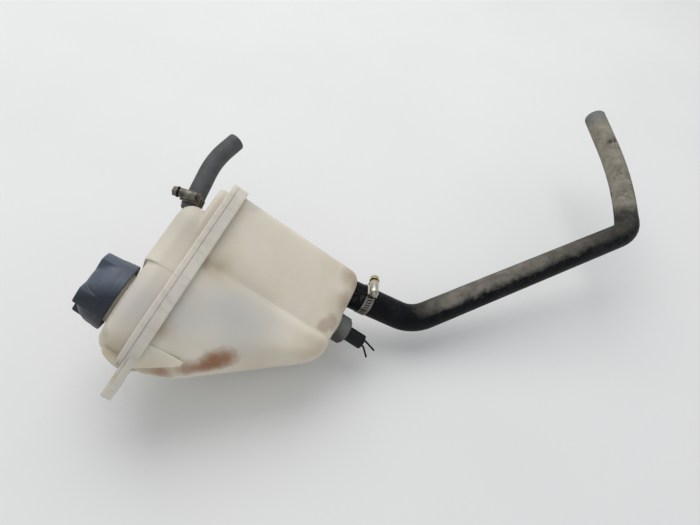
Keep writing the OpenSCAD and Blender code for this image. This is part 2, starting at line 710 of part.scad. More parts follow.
// ---- level sensor
sensor_top = port_boss_h + wall + 3;
float_low = sensor_top + move_gap;
stop_z = float_low + float_h + float_travel + move_gap;
stop_t = 1;
module sensor_frame() { translate([sensor_x, sensor_y, -lower_depth - port_boss_h]) children(); }
module sensor_collar() {
  color([0.35, 0.36, 0.36]) sensor_frame() difference() {
    union() {
      translate([0, 0, -collar_h]) cylinder(r1 = collar_r - 2.5, r2 = collar_r, h = 2.5);
      translate([0, 0, -collar_h + 2.5]) cylinder(r = collar_r, h = collar_h - 2.5);
      translate([0, 0, -join]) cylinder(r = port_r, h = port_boss_h + wall + join + 0.1);
      translate([0, 0, port_boss_h + wall + 0.1]) cylinder(r1 = port_r + 1, r2 = port_r - 0.5, h = 2.5);
    }
    translate([0, 0, -collar_h - 1]) cylinder(r = sensor_r, h = collar_h + port_boss_h + wall + 6);
  }
}
module sensor_body() {
  color([0.06, 0.06, 0.06]) sensor_frame() {
    translate([0, 0, -collar_h - sensor_len]) cylinder(r = sensor_r, h = sensor_len + collar_h + sensor_top);
    cylinder(r = stem_r, h = stop_z + stop_t + 2);
  }
}
module sensor_float() {
  color([0.9, 0.9, 0.86]) sensor_frame() translate([0, 0, float_low]) difference() {
    cylinder(r = float_r, h = float_h);
    translate([0, 0, -1]) cylinder(r = stem_r + 0.1, h = float_h + 2);
  }
}
module float_stop() {
  color([0.7, 0.7, 0.72]) sensor_frame() translate([0, 0, stop_z]) difference() {
    cylinder(r = stem_r + 2, h = stop_t);
    translate([0, 0, -1]) cylinder(r = stem_r, h = stop_t + 2);
  }
}
lead_base = -collar_h - sensor_len;
module sensor_lead_short() {
  color([0.05, 0.05, 0.05]) sensor_frame()
    bar_run([[-3, -1, lead_base + 3], [-3, -1, lead_base - 3], [-12, -5, lead_base - 9]], [4], [lead_r, lead_r, lead_r], 0, 0.04, 0.25);
}
module sensor_lead_long() {
  color([0.05, 0.05, 0.05]) sensor_frame()
    bar_run([[2, -2, lead_base + 3], [2, -2, lead_base - 3], [-2, -4, lead_base - 14]], [6], [lead_r, lead_r, lead_r], 0, 0.04, 0.25);
}

module placed() { translate(to_frame) children(); }
placed() lower_shell();
placed() upper_shell();
placed() filler_cap();
placed() cap_valve_insert();
placed() cap_seal();
placed() pressure_valve();
placed() pressure_spring();
placed() vacuum_valve();
placed() vacuum_spring();
placed() valve_retainer();
placed() outlet_hose();
placed() outlet_clamp_band();
placed() outlet_clamp_housing();
placed() outlet_clamp_screw();
placed() vent_hose();
placed() vent_clamp_band();
placed() vent_clamp_housing();
placed() vent_clamp_screw();
placed() sensor_collar();
placed() sensor_body();
placed() sensor_float();
placed() float_stop();
placed() sensor_lead_short();
placed() sensor_lead_long();
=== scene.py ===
"""Coolant expansion tank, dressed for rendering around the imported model."""
import json
import math

import bmesh
import bpy
import numpy as np
from mathutils import Matrix, Vector
from mathutils.geometry import tessellate_polygon


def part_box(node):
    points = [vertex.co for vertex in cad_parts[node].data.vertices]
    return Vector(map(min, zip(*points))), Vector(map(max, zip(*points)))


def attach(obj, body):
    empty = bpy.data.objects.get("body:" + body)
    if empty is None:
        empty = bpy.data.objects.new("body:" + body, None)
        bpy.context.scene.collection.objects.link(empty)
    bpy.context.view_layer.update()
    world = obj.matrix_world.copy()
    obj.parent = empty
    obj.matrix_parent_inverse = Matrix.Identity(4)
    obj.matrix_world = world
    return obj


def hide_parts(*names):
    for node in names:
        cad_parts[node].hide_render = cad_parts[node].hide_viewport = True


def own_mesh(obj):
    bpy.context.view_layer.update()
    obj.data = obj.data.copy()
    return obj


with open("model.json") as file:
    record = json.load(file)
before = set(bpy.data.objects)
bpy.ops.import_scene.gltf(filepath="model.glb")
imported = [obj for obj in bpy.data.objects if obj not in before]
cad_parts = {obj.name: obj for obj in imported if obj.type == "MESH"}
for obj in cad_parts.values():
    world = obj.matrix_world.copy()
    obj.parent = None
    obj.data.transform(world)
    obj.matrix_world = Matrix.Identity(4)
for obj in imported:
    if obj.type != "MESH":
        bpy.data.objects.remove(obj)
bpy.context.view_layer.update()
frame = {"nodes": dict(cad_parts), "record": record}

# Lengths below are in millimetres from the filler axis and the welded seam.
# TO_ORIGIN moves them so that the lower end of the tongue's hole is the frame's origin.
TO_ORIGIN = (59.5, 0.0, 9.0)
BODY_HALF_W = 43.0
BODY_END_X = 124.0
LOWER_DEPTH = 139.0
FLANGE_OUT = 5.5
FLANGE_T = 3.2
SEAM_LAP = 0.3
RIM_UP = 5.4
RIM_DOWN = 9.0
RIM_T = 2.6
CREASE_X = 48.5
CHAMBER_OVERLAP = 6.0
SLOPE_ROUND = 0.3
TONGUE_R = 13.0
HOLE = (-59.5, 0.0)
HOLE_R = 4.2
BOSS_R = 6.8
NECK_TOP = 46.0
NECK_R = 22.0
NECK_BORE_R = 19.0
OUTLET_LEAN = math.radians(9)
OUTLET_DIR = Vector((math.sin(OUTLET_LEAN), 0, -math.cos(OUTLET_LEAN)))
OUTLET_ROOT = Vector((113, -4, -LOWER_DEPTH))
VENT_RISE = 8
VENT_DIR = Vector((math.cos(math.radians(VENT_RISE)), 0, math.sin(math.radians(VENT_RISE))))
VENT_ROOT = Vector((95, -4, 26))
SENSOR_ROOT = (77, -6, -LOWER_DEPTH)


def row(p):
    """A point in millimetres from the filler axis, in the row frame in metres."""
    return Vector([(p[i] + TO_ORIGIN[i]) * 0.001 for i in range(3)])


# Camera, floor and light
RIGHT = Vector((0.42504, -0.40549, -0.80927))
UP = Vector((0.80886, -0.23116, 0.54066))
AHEAD = Vector((0.40630, 0.88439, -0.22974))
EYE = (-73.419, -471.386, -6.595)
SENSOR_W = 36.0
FOCAL_PX = 530.0
PICTURE_W_PX = 700.0
TABLE_UP = Vector((0.255, -0.88, 0.403)).normalized()
TABLE_DOWN = -80.5

camera = bpy.data.objects.new("camera", bpy.data.cameras.new("camera"))
bpy.context.scene.collection.objects.link(camera)
camera.data.sensor_width = SENSOR_W
camera.data.lens = SENSOR_W * FOCAL_PX / PICTURE_W_PX
camera.data.clip_start = 0.01
camera.data.clip_end = 50.0
turn = Matrix((RIGHT, UP, -AHEAD)).transposed().to_4x4()
camera.matrix_world = Matrix.Translation(row(EYE)) @ turn
bpy.context.scene.camera = camera
bpy.context.scene.view_settings.view_transform = "Standard"


def link(obj):
    bpy.context.scene.collection.objects.link(obj)
    return obj


# Finishes
class Finish:
    """A material whose colour, roughness and bump come from nodes on Object coordinates."""

    def __init__(self, name, **sockets):
        self.mat = bpy.data.materials.new(name)
        self.mat.use_nodes = True
        self.tree = self.mat.node_tree
        self.shader = self.tree.nodes["Principled BSDF"]
        for socket, value in sockets.items():
            self.shader.inputs[socket.replace("_", " ")].default_value = value
        self.place = self.tree.nodes.new("ShaderNodeTexCoord").outputs["Object"]

    def add(self, kind, **settings):
        n = self.tree.nodes.new(kind)
        for k, v in settings.items():
            setattr(n, k, v)
        return n

    def wire(self, value, socket):
        if isinstance(value, bpy.types.NodeSocket):
            self.tree.links.new(value, socket)
        else:
            socket.default_value = value

    def noise(self, scale, detail=4.0, rough=0.55, distortion=0.0, stretch=None, offset=0.0):
        n = self.add("ShaderNodeTexNoise")
        n.inputs["Scale"].default_value = scale
        n.inputs["Detail"].default_value = detail
        n.inputs["Roughness"].default_value = rough
        n.inputs["Distortion"].default_value = distortion
        m = self.add("ShaderNodeMapping")
        m.inputs["Location"].default_value = (offset, offset * 0.7, -offset)
        if stretch:
            m.inputs["Scale"].default_value = stretch
        self.wire(self.place, m.inputs["Vector"])
        self.wire(m.outputs[0], n.inputs["Vector"])
        return n.outputs["Fac"]

    def specks(self, scale, size, offset):
        n = self.add("ShaderNodeTexVoronoi")
        n.inputs["Scale"].default_value = scale
        m = self.add("ShaderNodeMapping")
        m.inputs["Location"].default_value = (offset, offset, offset)
        self.wire(self.place, m.inputs["Vector"])
        self.wire(m.outputs[0], n.inputs["Vector"])
        return self.ramp(n.outputs["Distance"], size, size * 0.5)

    def ramp(self, value, low, high, to_low=0.0, to_high=1.0):
        n = self.add("ShaderNodeMapRange", clamp=True)
        self.wire(value, n.inputs["Value"])
        n.inputs["From Min"].default_value = low
        n.inputs["From Max"].default_value = high
        n.inputs["To Min"].default_value = to_low
        n.inputs["To Max"].default_value = to_high
        return n.outputs["Result"]

    def math(self, how, a, b=0.0):
        n = self.add("ShaderNodeMath", operation=how)
        self.wire(a, n.inputs[0])
        self.wire(b, n.inputs[1])
        return n.outputs[0]

    def times(self, *values):
        out = values[0]
        for v in values[1:]:
            out = self.math("MULTIPLY", out, v)
        return out

    def centred(self, value, width):
        """A 0 to 1 value moved and scaled to lie about 0."""
        return self.math("MULTIPLY", self.math("SUBTRACT", value, 0.5), width)

    def near(self, point, inner, outer):
        """1 within inner mm of a point, falling to 0 at outer mm."""
        n = self.add("ShaderNodeVectorMath", operation="DISTANCE")
        self.wire(self.place, n.inputs[0])
        n.inputs[1].default_value = row(point)
        return self.ramp(n.outputs["Value"], outer * 0.001, inner * 0.001)

    def along(self, direction, point):
        """Signed distance in mm from a plane through the point."""
        n = self.add("ShaderNodeVectorMath", operation="DOT_PRODUCT")
        self.wire(self.place, n.inputs[0])
        n.inputs[1].default_value = Vector(direction) * 1000.0
        start = Vector(direction).dot(row(point)) * 1000.0
        return self.math("SUBTRACT", n.outputs["Value"], start)

    def off_line(self, point, direction):
        """Distance in mm from a straight line through the point."""
        away = self.add("ShaderNodeVectorMath", operation="SUBTRACT")
        self.wire(self.place, away.inputs[0])
        away.inputs[1].default_value = row(point)
        turned = self.add("ShaderNodeVectorMath", operation="CROSS_PRODUCT")
        self.wire(away.outputs[0], turned.inputs[0])
        turned.inputs[1].default_value = Vector(direction) * 1000.0
        n = self.add("ShaderNodeVectorMath", operation="LENGTH")
        self.wire(turned.outputs[0], n.inputs[0])
        return n.outputs["Value"]

    def facing(self, direction):
        g = self.add("ShaderNodeNewGeometry")
        n = self.add("ShaderNodeVectorMath", operation="DOT_PRODUCT")
        self.wire(g.outputs["Normal"], n.inputs[0])
        n.inputs[1].default_value = direction
        return n.outputs["Value"]

    def blend(self, base, colour, share):
        n = self.add("ShaderNodeMix", data_type="RGBA")
        self.wire(share, n.inputs["Factor"])
        self.wire(base, n.inputs["A"])
        self.wire(colour, n.inputs["B"])
        return n.outputs["Result"]

    def colour(self, value):
        self.wire(value, self.shader.inputs["Base Color"])

    def rough(self, value):
        self.wire(value, self.shader.inputs["Roughness"])

    def bump(self, height, depth, strength):
        n = self.add("ShaderNodeBump")
        n.inputs["Distance"].default_value = depth * 0.001
        n.inputs["Strength"].default_value = strength
        self.wire(height, n.inputs["Height"])
        self.wire(n.outputs[0], self.shader.inputs["Normal"])


def rgb(red, green, blue):
    return (red, green, blue, 1.0)


GREY, TAN, BROWN = rgb(0.52, 0.51, 0.49), rgb(0.62, 0.53, 0.41), rgb(0.46, 0.38, 0.26)
RUST, ROSE = rgb(0.27, 0.105, 0.035), rgb(0.34, 0.23, 0.17)
# A tint: its middle, how far it is full, how far it reaches, its colour and its weight
TINTS = [
    ((29, -41, -48), 8, 42, GREY, 0.85),
    ((4, -42, -18), 4, 30, GREY, 0.75),
    ((22, -40, -74), 4, 34, GREY, 0.6),
    ((0, -41, 16), 4, 34, rgb(0.52, 0.49, 0.47), 0.8),
    ((78, -43, 20), 12, 44, rgb(0.57, 0.53, 0.45), 0.85),
    ((54, -41, -30), 3, 24, TAN, 0.6),
    ((57, -39, -62), 3, 22, TAN, 0.4),
    ((5, -24, -93), 3, 34, TAN, 0.7),
    ((30, -32, -124), 3, 24, TAN, 0.7),
    ((42, -39, -130), 2, 18, BROWN, 0.5),
    ((84, -36, -133), 2, 20, BROWN, 0.55),
    ((112, -34, -134), 2, 18, BROWN, 0.8),
    ((123, -30, -110), 2, 26, TAN, 0.4),
    ((-40, -16, 14), 4, 22, BROWN, 0.6),
    ((-33, -26, 4), 3, 18, BROWN, 0.35),
    ((-41, -16, -20), 4, 26, BROWN, 0.7),
]
# A stain (the one at the crease under the flange is partly painted shade): its spots with their reach, its
# colour and weight, and where its edge starts and ends
STAINS_AND_SHADE = [
    ([((-5, -34, -66), 15), ((-11, -32, -61), 16), ((-18, -29, -56), 15)], RUST, 0.82, 0.16, 0.78),
    ([((-12, -31, -60), 20), ((-26, -26, -44), 18), ((-37, -17, -29), 18)], RUST, 0.7, 0.25, 0.8),
    ([((62, -38, -125), 10), ((67, -37, -130), 11)], ROSE, 0.55, 0.2, 0.6),
    ([((92, -35, -133), 15), ((116, -36, -126), 15)], ROSE, 0.5, 0.2, 0.8),
    # At the crease under the flange: brown dirt together with painted shade of the hollow.
    ([((52, -42, -10), 10), ((49, -42, -6), 9)], BROWN, 0.8, 0.2, 0.8),
    ([((56, -41, -21), 17), ((-12, -41, -10), 18)], BROWN, 0.6, 0.2, 0.9),
    ([((-34, -24, 26), 11)], rgb(0.28, 0.22, 0.15), 0.3, 0.3, 0.7),
    ([((119, -40, -19), 13)], rgb(0.55, 0.53, 0.48), 0.8, 0.3, 0.6),
]


def tinted(f, base):
    """Greyer where the plastic is thin and empty, browner where coolant stood."""
    for point, inner, outer, colour, weight in TINTS:
        base = f.blend(base, colour, f.times(f.near(point, inner, outer), weight))
    cloud = f.noise(13.0, 5.0, 0.6, 0.4, offset=3.0)
    return f.blend(base, rgb(0.54, 0.45, 0.34), f.ramp(cloud, 0.54, 0.8, 0.0, 0.35))


def stained_and_shaded(f, base):
    """Stains with uneven edges, one of them partly painted shade in the crease under the flange."""
    for i, (spots, colour, weight, low, high) in enumerate(STAINS_AND_SHADE):
        close = f.near(spots[0][0], 0, spots[0][1])
        for point, reach in spots[1:]:
            close = f.math("MAXIMUM", close, f.near(point, 0, reach))
        uneven = f.centred(f.noise(75.0, 5.0, 0.6, offset=i + 0.5), 0.9)
        inside = f.times(f.ramp(f.math("ADD", close, uneven), low, high), f.ramp(close, 0.0, 0.2))
        base = f.blend(base, colour, f.times(inside, weight))
    return base


def flange_worn(f, base, height, rim):
    """The flange's rim scuffed, and its welded seam a thin ragged line."""
    scuffs = f.ramp(f.noise(170.0, 5.0, 0.6, stretch=(1.0, 1.0, 0.25)), 0.5, 0.68)
    base = f.blend(base, rgb(0.63, 0.595, 0.54), f.times(rim, 0.6))
    base = f.blend(base, rgb(0.44, 0.38, 0.30), f.times(rim, scuffs, 0.4))
    ragged = f.centred(f.noise(60.0, 3.0), 1.6)
    above = f.math("ABSOLUTE", f.math("ADD", height, ragged))
    joint = f.times(f.ramp(above, 0.6, 0.1), f.ramp(f.noise(150.0, 4.0), 0.25, 0.6, 0.25, 1.0))
    return f.blend(base, rgb(0.30, 0.22, 0.14), f.times(joint, 0.75))


def cap_side_dirt_and_painted_light(f, base, height):
    """A pale ring of painted light where the cap shades the top, a brown line of dirt round it, and a line of
    painted shade in the step.
    """
    middle = (0, 0, 26)
    top = f.ramp(height, 19.0, 21.0)
    # Painted light: a pale ring lifts the top where the cap's skirt shades it.
    base = f.blend(base, rgb(0.82, 0.74, 0.61), f.times(f.near(middle, 34, 35), top, 0.8))
    within = f.math("SUBTRACT", 1.0, f.near(middle, 34.4, 35.2))
    ring = f.times(f.near(middle, 35.6, 36.4), within)
    broken = f.ramp(f.noise(70.0, 4.0), 0.35, 0.55)
    base = f.blend(base, rgb(0.34, 0.26, 0.17), f.times(ring, top, broken, 0.7))
    # Painted shade: a brown line along the foot of the step.
    step = f.math("ABSOLUTE", f.along((1, 0, 0), (30.8, 0, 0)))
    return f.blend(base, BROWN, f.times(f.ramp(step, 0.7, 0.2), f.ramp(height, 4.0, 7.0), 0.3))


def natural_plastic():
    """Aged natural plastic."""
    f = Finish("natural_plastic", Subsurface_Weight=0.35, Subsurface_Scale=0.008, Specular_IOR_Level=0.4)
    f.shader.inputs["Subsurface Radius"].default_value = (1.0, 0.8, 0.55)
    cloudy = f.ramp(f.noise(26.0, 3.0), 0.35, 0.65)
    base = f.blend(rgb(0.69, 0.638, 0.522), rgb(0.735, 0.685, 0.578), cloudy)
    base = stained_and_shaded(f, tinted(f, base))
    height = f.along((0, 0, 1), (0, 0, 0.4))
    rim = f.ramp(f.math("ABSOLUTE", f.math("ADD", height, 2.2)), 7.6, 6.6)
    base = flange_worn(f, base, height, rim)
    dots = f.times(f.specks(120.0, 0.06, 1.0), f.ramp(f.noise(18.0, 2.0), 0.5, 0.6))
    base = f.blend(base, rgb(0.16, 0.11, 0.07), f.times(dots, 0.8))
    f.colour(cap_side_dirt_and_painted_light(f, base, height))
    f.rough(f.ramp(f.noise(110.0, 4.0), 0.3, 0.7, 0.36, 0.52))
    wave = f.math("ADD", f.noise(160.0, 5.0), f.times(rim, f.noise(90.0, 3.0, offset=4.0), 5.0))
    f.bump(wave, 0.12, 0.5)
    return f.mat


def cap_plastic():
    """Blue-black plastic with fine dust, and painted shade that darkens its lower side."""
    f = Finish("cap_plastic", Specular_IOR_Level=0.5)
    uneven = f.ramp(f.noise(60.0, 5.0), 0.35, 0.7)
    base = f.blend(rgb(0.060, 0.078, 0.112), rgb(0.080, 0.101, 0.138), uneven)
    dust = f.times(f.ramp(f.noise(130.0, 6.0, 0.65), 0.45, 0.75), 0.2)
    base = f.blend(base, rgb(0.17, 0.17, 0.18), dust)
    # Painted shade: the cap goes nearly black toward its lower side.
    low = f.ramp(f.along(UP, (-2, -28, 43)), 3.0, -9.0)
    base = f.blend(base, rgb(0.005, 0.009, 0.017), f.times(low, 0.93))
    f.colour(base)
    f.rough(f.ramp(f.noise(200.0, 4.0), 0.3, 0.7, 0.36, 0.52))
    f.bump(f.noise(420.0, 4.0), 0.05, 0.4)
    return f.mat


# A smear on the hose: its middle, how far it is full, how far it reaches and its weight
SMEARS = [
    ((334, -87, -366), 10, 24, 0.8),
    ((448, -62, -338), 4, 13, 0.85),
    ((404, -73, -351), 3, 16, 0.5),
    ((372, -80, -358), 3, 18, 0.45),
    ((288, -82, -352), 4, 30, 0.5),
    ((484, -32, -312), 4, 10, 0.6),
]


def hose_rubber():
    """Black rubber, clean near the tank, dusty on its upper side and all over past the elbow."""
    f = Finish("hose_rubber", Specular_IOR_Level=0.09)
    base = f.blend(rgb(0.003, 0.004, 0.005), rgb(0.008, 0.009, 0.010), f.ramp(f.noise(80.0, 5.0), 0.4, 0.7))
    past = f.ramp(f.along(UP, (345, -78, -371)), -4.0, 18.0)
    run_side = (UP * 0.85 - RIGHT * 0.35 - AHEAD * 0.38).normalized()
    far_side = (-RIGHT * 0.7 - AHEAD * 0.72).normalized()
    torn = f.centred(f.noise(46.0, 7.0, 0.68, 0.6), 1.3)
    on_run = f.ramp(f.math("ADD", f.facing(run_side), torn), 0.26, 0.66)
    on_far = f.ramp(f.math("ADD", f.facing(far_side), f.math("MULTIPLY", torn, 0.6)), -0.40, 0.20)
    from_bend = f.along(RIGHT, (136, -8, -223))
    start = f.ramp(f.math("ADD", from_bend, f.math("MULTIPLY", torn, 24.0)), -14.0, 26.0)
    side = f.math("ADD", f.times(on_run, f.math("SUBTRACT", 1.0, past)), f.times(on_far, past))
    dust = f.times(side, start)
    pale = f.blend(rgb(0.205, 0.188, 0.160), rgb(0.310, 0.285, 0.230), past)
    worn = f.ramp(f.along(RIGHT, (250, -53, -314)), -30.0, 70.0, 1.0, 0.35)
    darker = f.blend(rgb(0.115, 0.105, 0.090), rgb(0.22, 0.20, 0.16), past)
    pale = f.blend(pale, darker, f.ramp(f.noise(120.0, 6.0), 0.35, 0.7))
    base = f.blend(base, pale, f.times(dust, f.math("MAXIMUM", worn, past), 0.94))
    line = f.math("ABSOLUTE", f.math("SUBTRACT", f.noise(75.0, 1.0, 0.5, 1.6, offset=5.0), 0.5))
    rubs = f.times(f.ramp(line, 0.02, 0.008), f.ramp(f.noise(30.0, 2.0, offset=8.0), 0.52, 0.58))
    base = f.blend(base, rgb(0.05, 0.045, 0.04), f.times(rubs, 0.75))
    for i, (point, inner, outer, weight) in enumerate(SMEARS):
        patch = f.ramp(f.noise(105.0, 6.0, 0.6, 0.8, offset=i + 6.0), 0.40, 0.54)
        base = f.blend(base, rgb(0.030, 0.029, 0.027), f.times(f.near(point, inner, outer), patch, weight))
    base = f.blend(base, rgb(0.17, 0.19, 0.19), f.times(f.near((490, -40, -315), 8, 22), 0.6))
    specks = f.times(f.specks(260.0, 0.10, 3.0), f.ramp(f.noise(25.0, 2.0, offset=2.0), 0.5, 0.6), start)
    base = f.blend(base, rgb(0.17, 0.16, 0.14), f.times(specks, 0.5))
    f.colour(base)
    f.rough(f.math("ADD", f.ramp(f.noise(140.0, 4.0), 0.3, 0.7, 0.36, 0.5), f.math("MULTIPLY", dust, 0.35)))
    f.bump(f.noise(300.0, 6.0, 0.6), 0.14, 0.6)
    return f.mat


def plain_finish(name, dark, light, rough, grain, shine):
    """Rubber or plastic of one colour, slightly uneven."""
    f = Finish(name, Specular_IOR_Level=shine)
    f.colour(f.blend(dark, light, f.ramp(f.noise(90.0, 5.0), 0.35, 0.7)))
    f.rough(f.ramp(f.noise(160.0, 3.0), 0.3, 0.7, rough - 0.08, rough + 0.08))
    f.bump(f.noise(grain, 5.0), 0.08, 0.5)
    return f.mat


def collar_rubber():
    """Grey rubber, with painted shade darkening its lower side toward the shell."""
    f = Finish("grey_rubber", Specular_IOR_Level=0.4)
    base = f.blend(rgb(0.10, 0.105, 0.105), rgb(0.17, 0.17, 0.165), f.ramp(f.noise(90.0, 5.0), 0.35, 0.7))
    away = (UP * 0.5 + RIGHT * 0.86).normalized()
    # Painted shade: the collar darkens toward its lower side by the shell.
    collar_painted_shade = f.ramp(f.along(away, (77, -12, -148)), 4.0, -7.0)
    f.colour(f.blend(base, rgb(0.035, 0.030, 0.024), f.times(collar_painted_shade, 0.8)))
    f.rough(f.ramp(f.noise(160.0, 3.0), 0.3, 0.7, 0.52, 0.68))
    f.bump(f.noise(240.0, 5.0), 0.08, 0.5)
    return f.mat


def plated_metal(name, clean, worn, rust, rough, wear, gilt=None):
    """Plated steel or brass. With gilt, the plating is yellow about that point and dull on the band."""
    f = Finish(name, Metallic=1.0)
    base = f.blend(clean, worn, f.ramp(f.noise(190.0, 5.0), 0.4, 0.65))
    if gilt:
        base = f.blend(base, rgb(0.58, 0.49, 0.27), f.times(f.near(gilt, 5, 9), 0.85))
        strip = f.ramp(f.off_line(OUTLET_ROOT, OUTLET_DIR), 15.8, 15.2)
        base = f.blend(base, rgb(0.13, 0.125, 0.11), f.times(strip, 0.75))
    base = f.blend(base, rust, f.times(f.ramp(f.noise(110.0, 6.0, 0.65, offset=2.0), 0.5, 0.68), wear))
    f.colour(base)
    f.rough(f.ramp(f.noise(260.0, 4.0), 0.3, 0.7, rough - 0.1, rough + 0.12))
    f.bump(f.noise(500.0, 4.0), 0.05, 0.5)
    return f.mat


GILT = (135.5, -16.0, -155.5)
# Dark and light colour, roughness, grain and shine
PLAIN_FINISHES = {
    "black_plastic": (rgb(0.003, 0.004, 0.004), rgb(0.008, 0.009, 0.010), 0.42, 380.0, 0.22),
    "vent_rubber": (rgb(0.055, 0.060, 0.064), rgb(0.090, 0.094, 0.098), 0.62, 300.0, 0.4),
    "float_plastic": (rgb(0.66, 0.66, 0.62), rgb(0.74, 0.73, 0.68), 0.4, 240.0, 0.4),
    "seal_rubber": (rgb(0.010, 0.010, 0.010), rgb(0.02, 0.02, 0.02), 0.5, 240.0, 0.4),
    "lead_sheath": (rgb(0.003, 0.003, 0.003), rgb(0.006, 0.006, 0.006), 0.5, 600.0, 0.15),
}
# Clean, worn and rusted colour, roughness, share of rust and the middle of what is left yellow
METAL_FINISHES = {
    "zinc_steel": (rgb(0.62, 0.60, 0.54), rgb(0.40, 0.38, 0.33), rgb(0.16, 0.12, 0.07), 0.36, 0.45, GILT),
    "worn_steel": (rgb(0.25, 0.235, 0.205), rgb(0.14, 0.13, 0.11), rgb(0.06, 0.045, 0.035), 0.52, 0.85),
    "spring_steel": (rgb(0.62, 0.62, 0.62), rgb(0.5, 0.5, 0.5), rgb(0.3, 0.28, 0.25), 0.3, 0.1),
    "valve_brass": (rgb(0.70, 0.52, 0.22), rgb(0.55, 0.42, 0.2), rgb(0.3, 0.22, 0.1), 0.32, 0.2),
}
MATERIALS = {
    "natural_plastic": natural_plastic(),
    "cap_plastic": cap_plastic(),
    "grey_rubber": collar_rubber(),
    "hose_rubber": hose_rubber(),
    **{name: plain_finish(name, *look) for name, look in PLAIN_FINISHES.items()},
    **{name: plated_metal(name, *look) for name, look in METAL_FINISHES.items()},
}
SLOT_OF = {s["node"]: s["material_slot"] for s in frame["record"]["subparts"]}
for node_name, node_object in frame["nodes"].items():
    node_object.data.materials.clear()
    node_object.data.materials.append(MATERIALS[SLOT_OF[node_name]])


# Mesh making, in millimetres
def arc(cx, cy, r, a0, a1, n):
    return [(cx + r * math.cos(math.radians(a0 + (a1 - a0) * i / n)),
             cy + r * math.sin(math.radians(a0 + (a1 - a0) * i / n))) for i in range(n + 1)]


def circle(cx, cy, r, n=64):
    return arc(cx, cy, r, 0, 360, n)[:-1]


def loft(rings, closed_ends=True):
    n = len(rings[0])
    verts = [tuple(p) for r in rings for p in r]
    faces = [(j * n + i, j * n + (i + 1) % n, (j + 1) * n + (i + 1) % n, (j + 1) * n + i)
             for j in range(len(rings) - 1) for i in range(n)]
    if closed_ends:
        faces.append(tuple(range(n))[::-1])
        faces.append(tuple((len(rings) - 1) * n + i for i in range(n)))
    return verts, faces


def prism(loops, z0, z1):
    """An upright block on an outline, with any further outlines as holes."""
    flat = [p for loop in loops for p in loop]
    count = len(flat)
    tris = tessellate_polygon([[Vector((x, y, 0)) for x, y in loop] for loop in loops])
    verts = [(x, y, z0) for x, y in flat] + [(x, y, z1) for x, y in flat]
    faces = [tuple(t) for t in tris] + [tuple(i + count for i in t) for t in tris]
    start = 0
    for loop in loops:
        n = len(loop)
        for i in range(n):
            a, b = start + i, start + (i + 1) % n
            faces.append((a, b, b + count, a + count))
        start += n
    return verts, faces


def moved(solid, matrix):
    return [tuple(matrix @ Vector(v)) for v in solid[0]], solid[1]


def joined(solids):
    verts, faces = [], []
    for v, f in solids:
        start = len(verts)
        verts += list(v)
        faces += [tuple(i + start for i in face) for face in f]
    return verts, faces


def frame_of(origin, x, z):
    x, z = Vector(x), Vector(z)
    m = Matrix((x, z.cross(x), z)).transposed().to_4x4()
    m.translation = Vector(origin)
    return m


def level_matrix(point, up, along):
    """A placing with local Z up and local X as near as it can be to the other direction."""
    z = up.normalized()
    return frame_of(point, (along - z * along.dot(z)).normalized(), z)


def mesh_of(name, solid):
    mesh = bpy.data.meshes.new(name)
    mesh.from_pydata([row(v) for v in solid[0]], [], solid[1])
    bm = bmesh.new()
    bm.from_mesh(mesh)
    bmesh.ops.remove_doubles(bm, verts=bm.verts, dist=1e-7)
    bmesh.ops.recalc_face_normals(bm, faces=bm.faces)
    bm.to_mesh(mesh)
    bm.free()
    return mesh


def settle(obj):
    """The object with its modifiers worked into a plain mesh."""
    bpy.context.view_layer.update()
    graph = bpy.context.evaluated_depsgraph_get()
    mesh = bpy.data.meshes.new_from_object(obj.evaluated_get(graph))
    obj.modifiers.clear()
    old = obj.data
    obj.data = mesh
    bpy.data.meshes.remove(old)
    return obj


def piece(name, solid, body, slot, nodes=(), sharp=35.0, bevel=0.0):
    obj = link(bpy.data.objects.new(name, mesh_of(name, solid)))
    if bevel:
        m = obj.modifiers.new("edges", "BEVEL")
        m.width = bevel * 0.001
        m.segments = 2
        m.limit_method = "ANGLE"
        m.angle_limit = math.radians(30)
        settle(obj)
    return dress(obj, body, slot, nodes, sharp)


def dress(obj, body, slot, nodes=(), sharp=35.0):
    for p in obj.data.polygons:
        p.use_smooth = True
    obj.data.set_sharp_from_angle(angle=math.radians(sharp))
    obj.data.materials.clear()
    obj.data.materials.append(MATERIALS[slot])
    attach(obj, body)
    if nodes:
        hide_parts(*nodes)
    return obj


VOXEL, QUICK_COARSER, SMOOTHING = 0.6, 1.6, 5
# Distance from the seam, from and to, and the share of the smoothing that's let in there
SOFT_SHARES = ((0.0, 1.2, 0.12), (1.2, 2.2, 0.5), (2.2, 1e9, 1.0))


def moulded(name, solids, body, slot, nodes, keep):
    """Overlapping closed forms made one moulding with soft edges, least soft at the seam."""
    obj = link(bpy.data.objects.new(name, mesh_of(name, joined(solids))))
    m = obj.modifiers.new("one_skin", "REMESH")
    m.mode = "VOXEL"
    m.voxel_size = VOXEL * 1.0 * 0.001
    settle(obj)
    places = np.empty(len(obj.data.vertices) * 3)
    obj.data.vertices.foreach_get("co", places)
    height = np.abs(places[2::3] * 1000 - TO_ORIGIN[2])
    soft = obj.vertex_groups.new(name="soft")
    for low, high, weight in SOFT_SHARES:
        soft.add(np.nonzero((height >= low) & (height < high))[0].tolist(), weight, "REPLACE")
    m = obj.modifiers.new("soft_edges", "SMOOTH")
    m.factor = 0.5
    m.iterations = SMOOTHING // 1
    m.vertex_group = "soft"
    m = obj.modifiers.new("fewer_faces", "DECIMATE")
    m.ratio = keep
    settle(obj)
    obj.vertex_groups.clear()
    return dress(obj, body, slot, nodes, 180.0)


# Plan outlines
def seam_plan(grow, n=24):
    r, c, x = BODY_HALF_W + grow, 15.0 + grow, BODY_END_X + grow
    return (arc(x - c, -r + c, c, -90, 0, n) + arc(x - c, r - c, c, 0, 90, n) + arc(0, 0, r, 90, 270, 3 * n))


